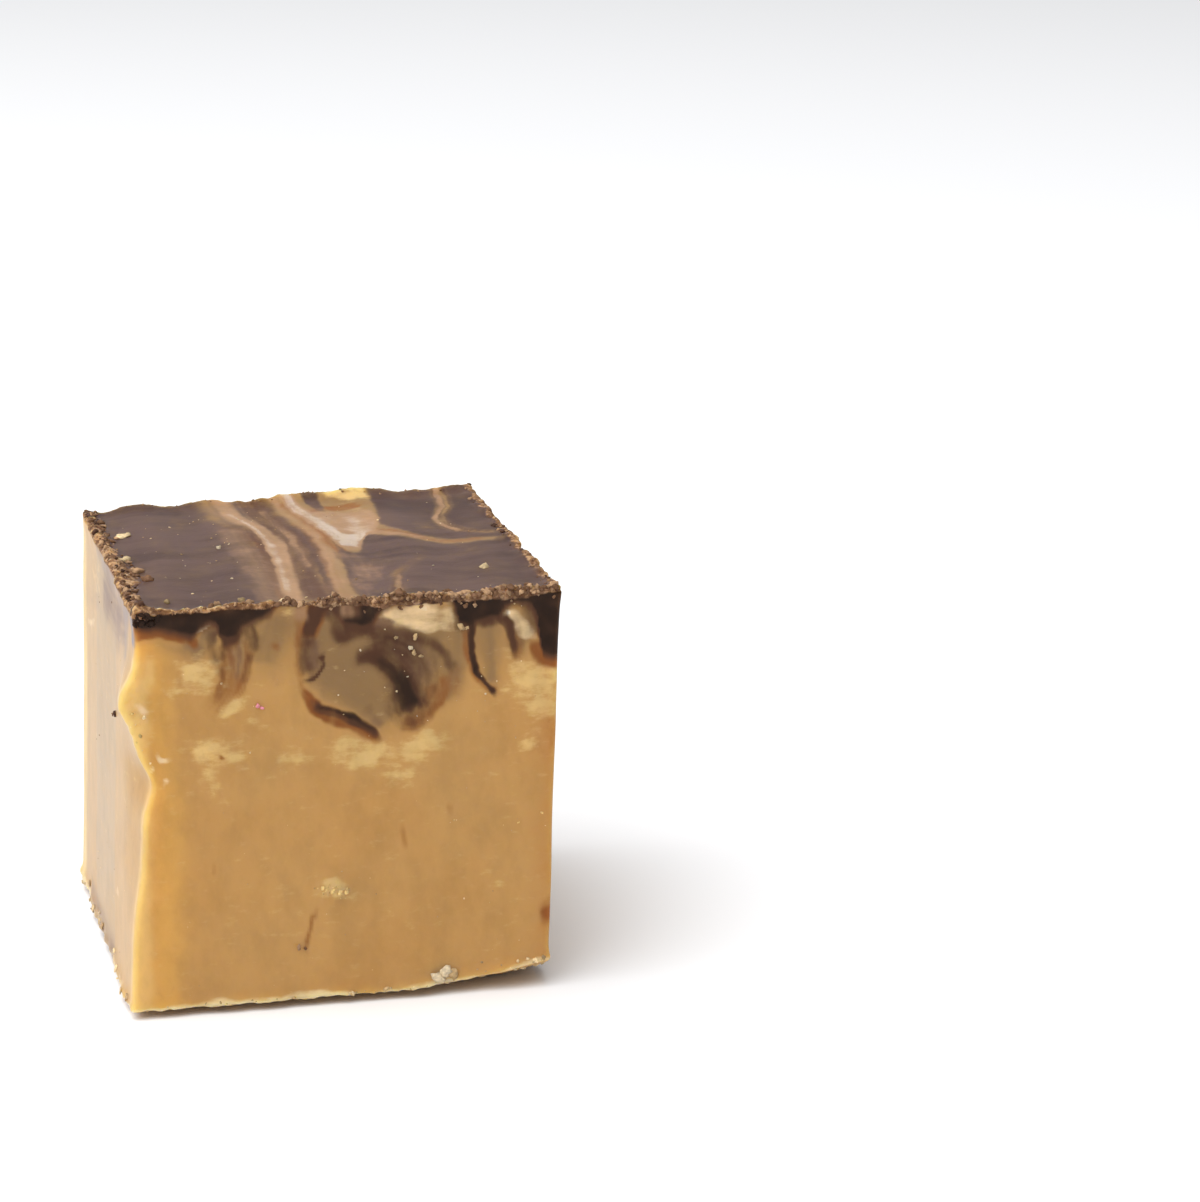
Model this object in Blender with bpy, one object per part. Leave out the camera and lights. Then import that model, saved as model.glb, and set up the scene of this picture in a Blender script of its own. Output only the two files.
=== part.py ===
"""A hand-cut cube of caramel fudge with a chocolate layer swirled into its top.

Units are metres and +Z is up. The front, which shows the swirls best, faces -Y.
The origin is at the middle of the base. Two solids lie one on the other: the
caramel body, and the chocolate layer that was poured on it and pulled through
it with a fork, so that the surface between them dips and rises.
"""

import math

import bmesh
import bpy
from mathutils import Vector, noise

MM = 0.001

# The block, between its cut walls at half its height.
WIDTH = 26.0 * MM
DEPTH = 27.2 * MM
HEIGHT = 25.5 * MM
LEAN = 0.9 * MM

# The ragged outline isn't even, so this centres its box over the origin.
CENTRE_SHIFT_X = 0.10 * MM
CENTRE_SHIFT_Y = 0.02 * MM

# Grid lines over the plan, down the body's walls and down the layer's edge.
PLAN_CELLS = 30
BODY_CELLS = 18
LAYER_CELLS = 3
EDGE_CROWDING = 0.35

# The chocolate layer.
THINNEST_LAYER = 0.75 * MM
LAYER_GAP = 0.3 * MM

# Where the fork pulled chocolate down: x and y from the front left corner,
# reach in x and in y, and depth, all in millimetres.
FORK_DIPS = (
    (0.8, 0.0, 1.9, 4.0, 1.3),
    (3.2, 0.0, 1.2, 2.5, 0.5),
    (6.0, 0.0, 1.3, 3.0, 1.2),
    (13.6, 0.0, 2.3, 3.0, 0.7),
    (21.2, 0.0, 1.6, 3.5, 1.5),
    (26.3, 0.0, 1.3, 2.6, 3.4),
    (8.0, 12.0, 4.5, 5.0, 1.4),
    (18.0, 13.0, 4.5, 5.0, 1.7),
    (26.0, 8.0, 2.5, 1.8, 1.2),
    (26.0, 15.5, 3.0, 2.2, 2.6),
    (25.0, 23.0, 2.5, 1.8, 1.0),
    (19.5, 27.2, 2.6, 3.0, 2.3),
    (12.5, 27.2, 1.6, 2.4, 0.7),
    (5.0, 27.2, 2.4, 3.0, 2.0),
    (0.0, 20.0, 2.2, 2.0, 0.5),
)

# The top: low waves along the swirls, a lip at the back and a worn corner.
SWIRL_WAVE = 0.10 * MM
SWIRL_LENGTH = 5.2 * MM
BACK_LIP = 0.30 * MM
WORN_CORNER = 0.25 * MM

# What the knife left: waves in the walls, crumbs on the top edges, a burr below.
WALL_WAVE = 0.10 * MM
WALL_WAVE_LENGTH = 7.0 * MM
CRUMB_RIDGE = 0.42 * MM
CRUMB_REACH = 0.75 * MM
CRUMB_LENGTH = 1.5 * MM
CRUMB_LIP = 0.16 * MM
BURR = 0.38 * MM
BURR_RISE = 0.55 * MM
BURR_LENGTH = 1.9 * MM
WALL_REACH = 2.2 * MM
EDGE_REACH = 0.8 * MM

# The front left edge was dragged: it bulges out high up and is chipped below.
# Each row is a height, a reach up and down, and a push to the right, in millimetres.
DRAGGED_EDGE = (
    (20.1, 1.5, -0.95),
    (14.9, 1.6, 0.85),
    (10.8, 4.0, 0.62),
)
DRAG_DEPTH = 3.6 * MM
DRAG_WIDTH = 1.5 * MM

# The underside is flat inside and turns up at its edges, a little wider at mid-edge.
FOOT_LIFT = 0.50 * MM
FOOT_REACH = 2.1 * MM
FOOT_BOW = 0.5

# The base curls up off the table at the front right corner.
CURL_LIFT = 1.35 * MM
CURL_START = 0.62
CURL_DEPTH = 4.2 * MM

CARAMEL = (0.50, 0.27, 0.095, 1.0)
CHOCOLATE = (0.050, 0.026, 0.018, 1.0)


def bell(value, centre, reach):
    """1 at the centre, falling smoothly to nothing within about two reaches."""
    return math.exp(-(((value - centre) / reach) ** 2))


def ragged(place, length, seed):
    """A smooth random number from 0 to 1 that changes over a length along an edge."""
    spot = Vector((place / length, seed * 7.31, seed * 3.17))
    return min(1.0, max(0.0, 0.5 + 0.75 * noise.noise(spot)))


def crowded(share):
    """Moves evenly spaced grid lines towards both ends of their span."""
    return share - EDGE_CROWDING * math.sin(2 * math.pi * share) / (2 * math.pi)


def edges_of(across, back):
    """For each top edge: how far in from it a point lies, how far along it, and a seed."""
    return (
        (across * WIDTH, back * DEPTH, 1),
        ((1 - across) * WIDTH, back * DEPTH, 2),
        (back * DEPTH, across * WIDTH, 3),
        ((1 - back) * DEPTH, across * WIDTH, 4),
    )


def top_height(across, back):
    """The chocolate's surface: low swirl waves, crumb ridges, a lip and a worn corner."""
    x, y = across * WIDTH, back * DEPTH
    bend = 2.4 * MM * math.sin(2.2 * back)
    height = HEIGHT + SWIRL_WAVE * math.sin(2 * math.pi * (x - bend) / SWIRL_LENGTH)
    for inward, along, seed in edges_of(across, back):
        crumbs = 0.15 + 0.85 * ragged(along, CRUMB_LENGTH, seed)
        height += CRUMB_RIDGE * crumbs * bell(inward, 0.2 * MM, CRUMB_REACH)
    height += BACK_LIP * bell(x, 17.5 * MM, 3.6 * MM) * bell(y, DEPTH, 1.3 * MM)
    height -= WORN_CORNER * bell(x, 0, 2.6 * MM) * bell(y, DEPTH, 3.5 * MM)
    return height


def layer_depth(across, back):
    """How far the chocolate reaches down below the cube's nominal height."""
    x, y = across * WIDTH / MM, back * DEPTH / MM
    depth = THINNEST_LAYER / MM
    for dip_x, dip_y, reach_x, reach_y, drop in FORK_DIPS:
        depth += drop * bell(x, dip_x, reach_x) * bell(y, dip_y, reach_y)
    return depth * MM


def base_height(across, back):
    """The underside: flat, with a foot that turns up and a curl at the front right corner."""
    foot = 0.0
    for inward, along in (
        (min(across, 1 - across) * WIDTH, back),
        (min(back, 1 - back) * DEPTH, across),
    ):
        reach = FOOT_REACH * (1 + 4 * FOOT_BOW * along * (1 - along))
        foot = max(foot, FOOT_LIFT * (1 - min(1.0, inward / reach) ** 2))
    share = max(0.0, (across - CURL_START) / (1 - CURL_START))
    return foot + CURL_LIFT * share**1.6 * max(0.0, 1 - back * DEPTH / CURL_DEPTH) ** 2


def wall_push(inward, along, height, rise, seed):
    """How far one cut wall stands out, at a height and a rise above the foot."""
    spot = Vector((along / WALL_WAVE_LENGTH, height / WALL_WAVE_LENGTH, seed * 5.3))
    wave = WALL_WAVE * noise.noise(spot) * bell(inward, 0, WALL_REACH)
    burr = BURR * (0.1 + 0.9 * ragged(along, BURR_LENGTH, seed + 10))
    burr *= bell(rise, 0, BURR_RISE)
    lip = CRUMB_LIP * ragged(along, CRUMB_LENGTH, seed + 20)
    lip *= bell(height, HEIGHT, EDGE_REACH)
    return wave + (burr + lip) * bell(inward, 0, EDGE_REACH)


def dragged_push(across, back, height):
    """How far the front left edge is moved to the right at this height."""
    fade = bell(across * WIDTH, 0, DRAG_WIDTH) * bell(back * DEPTH, 0, DRAG_DEPTH)
    push = 0.0
    for middle, reach, shift in DRAGGED_EDGE:
        push += shift * bell(height / MM, middle, reach)
    return push * MM * fade


def placed(across, back, height):
    """The point of the block at these shares of its width and depth, at this height."""
    x = WIDTH * (across - 0.5) + LEAN * (height / HEIGHT - 0.5)
    y = DEPTH * (back - 0.5)
    rise = height - base_height(across, back)
    left, right, front, rear = edges_of(across, back)
    x -= wall_push(left[0], left[1], height, rise, left[2])
    x += wall_push(right[0], right[1], height, rise, right[2])
    y -= wall_push(front[0], front[1], height, rise, front[2])
    y += wall_push(rear[0], rear[1], height, rise, rear[2])
    x += dragged_push(across, back, height)
    return Vector((x + CENTRE_SHIFT_X, y + CENTRE_SHIFT_Y, height))


def fudge_material(name, colour, roughness):
    """A plain finish of one colour."""
    material = bpy.data.materials.new(name)
    material.use_nodes = True
    shader = material.node_tree.nodes["Principled BSDF"]
    shader.inputs["Base Color"].default_value = colour
    shader.inputs["Roughness"].default_value = roughness
    shader.inputs["Metallic"].default_value = 0.0
    return material


def gridded_cube(tall_cells):
    """A unit cube whose faces are cut into a grid, with its low corner at the origin."""
    mesh = bmesh.new()
    bmesh.ops.create_cube(mesh, size=1.0)
    for axis, cells in ((0, PLAN_CELLS), (1, PLAN_CELLS), (2, tall_cells)):
        along = [
            edge
            for edge in mesh.edges
            if abs(edge.verts[0].co[axis] - edge.verts[1].co[axis]) > 0.5
        ]
        bmesh.ops.subdivide_edges(mesh, edges=along, cuts=cells - 1, use_grid_fill=True)
    bmesh.ops.translate(mesh, verts=mesh.verts, vec=(0.5, 0.5, 0.5))
    return mesh


def cut_block(name, low, high, tall_cells, collection, material):
    """A block of the fudge between two uneven surfaces, low and high."""
    mesh = gridded_cube(tall_cells)
    for vert in mesh.verts:
        across, back, up = crowded(vert.co.x), crowded(vert.co.y), vert.co.z
        floor, roof = low(across, back), high(across, back)
        vert.co = placed(across, back, floor + (roof - floor) * up)
    bmesh.ops.recalc_face_normals(mesh, faces=mesh.faces)
    bmesh.ops.triangulate(mesh, faces=mesh.faces, quad_method="SHORT_EDGE")
    data = bpy.data.meshes.new(name)
    mesh.to_mesh(data)
    mesh.free()
    data.materials.append(material)
    data.shade_smooth()
    data.set_sharp_from_angle(angle=math.radians(40))
    block = bpy.data.objects.new(name, data)
    collection.objects.link(block)
    return block


def body_roof(across, back):
    """The top of the caramel body, half the gap below the surface between the solids."""
    return HEIGHT - layer_depth(across, back) - LAYER_GAP / 2


def layer_floor(across, back):
    """The underside of the chocolate, half the gap above the same surface."""
    return HEIGHT - layer_depth(across, back) + LAYER_GAP / 2


def build():
    for old in list(bpy.data.objects):
        bpy.data.objects.remove(old)
    collection = bpy.data.collections.new("fudge_cube")
    bpy.context.scene.collection.children.link(collection)
    caramel = fudge_material("caramel fudge", CARAMEL, 0.38)
    chocolate = fudge_material("chocolate", CHOCOLATE, 0.35)
    cut_block("caramel_body", base_height, body_roof, BODY_CELLS, collection, caramel)
    cut_block("chocolate_top", layer_floor, top_height, LAYER_CELLS, collection, chocolate)


build()
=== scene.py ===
"""The looks of one hand-cut cube of caramel fudge, marbled with dark chocolate.

Units in the meshes are metres and +Z is up; sizes and places below are in millimetres
from the cube's front left bottom corner: x to the right, y back, z up. The front, with
the swirls, faces -Y.
"""

import math
import random

import bmesh
import bpy
import numpy as np
from mathutils import Matrix, Vector, noise
from mathutils.bvhtree import BVHTree


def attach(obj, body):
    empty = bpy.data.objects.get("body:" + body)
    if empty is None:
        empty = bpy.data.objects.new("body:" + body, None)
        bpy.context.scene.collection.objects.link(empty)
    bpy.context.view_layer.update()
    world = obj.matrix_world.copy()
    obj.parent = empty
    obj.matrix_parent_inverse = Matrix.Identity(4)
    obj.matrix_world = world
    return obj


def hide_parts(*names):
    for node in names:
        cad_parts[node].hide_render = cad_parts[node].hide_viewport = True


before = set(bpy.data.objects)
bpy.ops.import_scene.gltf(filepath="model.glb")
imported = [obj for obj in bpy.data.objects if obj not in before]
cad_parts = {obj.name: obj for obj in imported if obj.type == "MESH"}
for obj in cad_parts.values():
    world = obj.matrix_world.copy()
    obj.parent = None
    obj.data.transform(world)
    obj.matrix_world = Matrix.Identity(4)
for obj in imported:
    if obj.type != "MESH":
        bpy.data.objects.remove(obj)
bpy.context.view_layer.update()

# The cube
# One mass of caramel fudge (boiled sugar, butter and cream) with chocolate poured on it in
# the tray and pulled in with a fork, so that curls of it show in the walls. It was cut by
# hand: the knife left faint waves, a burr round the foot and a dragged lip at the front.

MM = 0.001
WIDTH = 26.0
DEPTH = 27.2
HEIGHT = 25.5
LEAN = 0.9
CENTRE_SHIFT = (0.10, 0.02)

THINNEST_LAYER = 0.75
# Where the fork pulled chocolate down: x, y, reach in x, reach in y and depth.
FORK_DIPS = (
    (0.8, 0.0, 1.9, 4.0, 1.3),
    (3.2, 0.0, 1.2, 2.5, 0.5),
    (6.0, 0.0, 1.3, 3.0, 1.2),
    (13.6, 0.0, 2.3, 3.0, 0.7),
    (21.2, 0.0, 1.6, 3.5, 1.5),
    (26.3, 0.0, 1.3, 2.6, 3.4),
    (8.0, 12.0, 4.5, 5.0, 1.4),
    (18.0, 13.0, 4.5, 5.0, 1.7),
    (26.0, 8.0, 2.5, 1.8, 1.2),
    (26.0, 15.5, 3.0, 2.2, 2.6),
    (25.0, 23.0, 2.5, 1.8, 1.0),
    (19.5, 27.2, 2.6, 3.0, 2.3),
    (12.5, 27.2, 1.6, 2.4, 0.7),
    (5.0, 27.2, 2.4, 3.0, 2.0),
    (0.0, 20.0, 2.2, 2.0, 0.5),
)
# The top: low waves along the swirls, a lip at the back and a worn corner.
SWIRL_WAVE = 0.10
SWIRL_LENGTH = 5.2
BACK_LIP = 0.30
WORN_CORNER = 0.25
# The cut walls: waves, a ridge of crumbs along the top edges and a burr at the foot.
WALL_WAVE = 0.10
WALL_WAVE_LENGTH = 7.0
CRUMB_RIDGE = 0.42
CRUMB_REACH = 0.75
CRUMB_LENGTH = 1.5
CRUMB_LIP = 0.16
BURR = 0.38
BURR_RISE = 0.55
BURR_LENGTH = 1.9
WALL_REACH = 2.2
EDGE_REACH = 0.8
# The front left edge was dragged. Each part: a height, a reach and a push to the right.
DRAGGED_EDGE = ((20.1, 1.5, -0.95), (14.9, 1.6, 0.85), (10.8, 4.0, 0.62))
DRAG_DEPTH = 3.6
DRAG_WIDTH = 1.5
# The underside turns up at its edges and curls up at the front right corner.
FOOT_LIFT = 0.50
FOOT_REACH = 2.1
FOOT_BOW = 0.5
CURL_LIFT = 1.35
CURL_START = 0.62
CURL_DEPTH = 4.2
# How far the cut edges are rounded over, in x, y and z.
EDGE_ROUNDING = np.array([0.34, 0.34, 0.24])


def bell(value, centre, reach):
    """1 at the centre, falling smoothly to nothing within about two reaches."""
    return np.exp(-(((value - centre) / reach) ** 2))


def ramp(value, low, high):
    """0 below low, 1 above high, and a smooth rise between."""
    share = np.clip((value - low) / (high - low), 0, 1)
    return share * share * (3 - 2 * share)


def rumple(spots, length, seed=0.0):
    """Smooth noise from -1 to 1 at each spot, changing over about this length."""
    return np.array([noise.noise(spot) for spot in (spots / length + seed).tolist()])


def ragged(place, length, seed):
    """A smooth random number from 0 to 1 that changes over a length along an edge."""
    spots = np.stack([place / length, place * 0 + seed * 7.31, place * 0 + seed * 3.17], axis=-1)
    return np.clip(0.5 + 0.75 * rumple(spots, 1.0), 0, 1)


def edges_of(across, back):
    """For each wall: how far in from it a point lies, how far along it, and a seed."""
    return (
        (across * WIDTH, back * DEPTH, 1),
        ((1 - across) * WIDTH, back * DEPTH, 2),
        (back * DEPTH, across * WIDTH, 3),
        ((1 - back) * DEPTH, across * WIDTH, 4),
    )


def top_height(across, back):
    """The chocolate's surface: low swirl waves, crumb ridges, a lip and a worn corner."""
    x, y = across * WIDTH, back * DEPTH
    bend = 2.4 * np.sin(2.2 * back)
    height = HEIGHT + SWIRL_WAVE * np.sin(2 * math.pi * (x - bend) / SWIRL_LENGTH)
    for inward, along, seed in edges_of(across, back):
        crumbs = 0.15 + 0.85 * ragged(along, CRUMB_LENGTH, seed)
        height += CRUMB_RIDGE * crumbs * bell(inward, 0.2, CRUMB_REACH)
    height += BACK_LIP * bell(x, 17.5, 3.6) * bell(y, DEPTH, 1.3)
    return height - WORN_CORNER * bell(x, 0, 2.6) * bell(y, DEPTH, 3.5)


def layer_floor(across, back):
    """The height of the surface where the chocolate meets the caramel."""
    depth = THINNEST_LAYER + 0 * across
    for dip_x, dip_y, reach_x, reach_y, drop in FORK_DIPS:
        depth += drop * bell(across * WIDTH, dip_x, reach_x) * bell(back * DEPTH, dip_y, reach_y)
    return HEIGHT - depth


def base_height(across, back):
    """The underside: flat, with a foot that turns up and a curl at the front right corner."""
    foot = 0 * across
    for inward, along in (
        (np.minimum(across, 1 - across) * WIDTH, back),
        (np.minimum(back, 1 - back) * DEPTH, across),
    ):
        reach = FOOT_REACH * (1 + 4 * FOOT_BOW * along * (1 - along))
        foot = np.maximum(foot, FOOT_LIFT * (1 - np.minimum(1, inward / reach) ** 2))
    share = np.maximum(0, (across - CURL_START) / (1 - CURL_START))
    return foot + CURL_LIFT * share**1.6 * np.maximum(0, 1 - back * DEPTH / CURL_DEPTH) ** 2


def wall_push(inward, along, height, rise, seed):
    """How far one cut wall stands out, at a height and a rise above the foot."""
    spots = np.stack([along, height, along * 0 + seed * 5.3 * WALL_WAVE_LENGTH], axis=-1)
    wave = WALL_WAVE * rumple(spots, WALL_WAVE_LENGTH) * bell(inward, 0, WALL_REACH)
    burr = BURR * (0.1 + 0.9 * ragged(along, BURR_LENGTH, seed + 10)) * bell(rise, 0, BURR_RISE)
    lip = CRUMB_LIP * ragged(along, CRUMB_LENGTH, seed + 20) * bell(height, HEIGHT, EDGE_REACH)
    return wave + (burr + lip) * bell(inward, 0, EDGE_REACH)


def dragged_push(across, back, height):
    """How far the front left edge is moved to the right at this height."""
    fade = bell(across * WIDTH, 0, DRAG_WIDTH) * bell(back * DEPTH, 0, DRAG_DEPTH)
    return fade * sum(shift * bell(height, middle, reach) for middle, reach, shift in DRAGGED_EDGE)


def shaped(across, back, up):
    """Where points of the plain block end up, the way out of the block there, and the skin.

    The skin is 1 on the outside and falls to 0 a little way in.
    """
    base, roof = base_height(across, back), top_height(across, back)
    height = base + (roof - base) * up
    size = np.array([WIDTH, DEPTH, HEIGHT])
    low = height < HEIGHT / 2
    plain_z = np.where(low, height - base, height - roof + HEIGHT)
    plain = np.stack([across * WIDTH, back * DEPTH, plain_z], axis=-1)
    inner = np.clip(plain, EDGE_ROUNDING, size - EDGE_ROUNDING)
    out = (plain - inner) / EDGE_ROUNDING
    skin = np.abs(out).max(axis=-1)
    length = np.linalg.norm(out, axis=-1)
    rounding = np.where(length > 0, skin / np.maximum(length, 1e-9), 1.0)
    rounded = inner + (plain - inner) * rounding[:, None]
    x, y = rounded[:, 0], rounded[:, 1]
    z = height + rounded[:, 2] - plain[:, 2]
    rise = height - base
    left, right, front, rear = edges_of(across, back)
    x = x - wall_push(left[0], left[1], height, rise, left[2])
    x = x + wall_push(right[0], right[1], height, rise, right[2])
    y = y - wall_push(front[0], front[1], height, rise, front[2])
    y = y + wall_push(rear[0], rear[1], height, rise, rear[2])
    x = x + dragged_push(across, back, height) + LEAN * (height / HEIGHT - 0.5)
    way_out = out / np.maximum(length, 1e-9)[:, None]
    return np.stack([x, y, z], axis=-1), way_out, skin


def in_row(places):
    """Millimetres from the front left corner, made metres from the middle of the base."""
    middle = np.array([WIDTH / 2 - CENTRE_SHIFT[0], DEPTH / 2 - CENTRE_SHIFT[1], 0])
    return (places - middle) * MM


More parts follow.
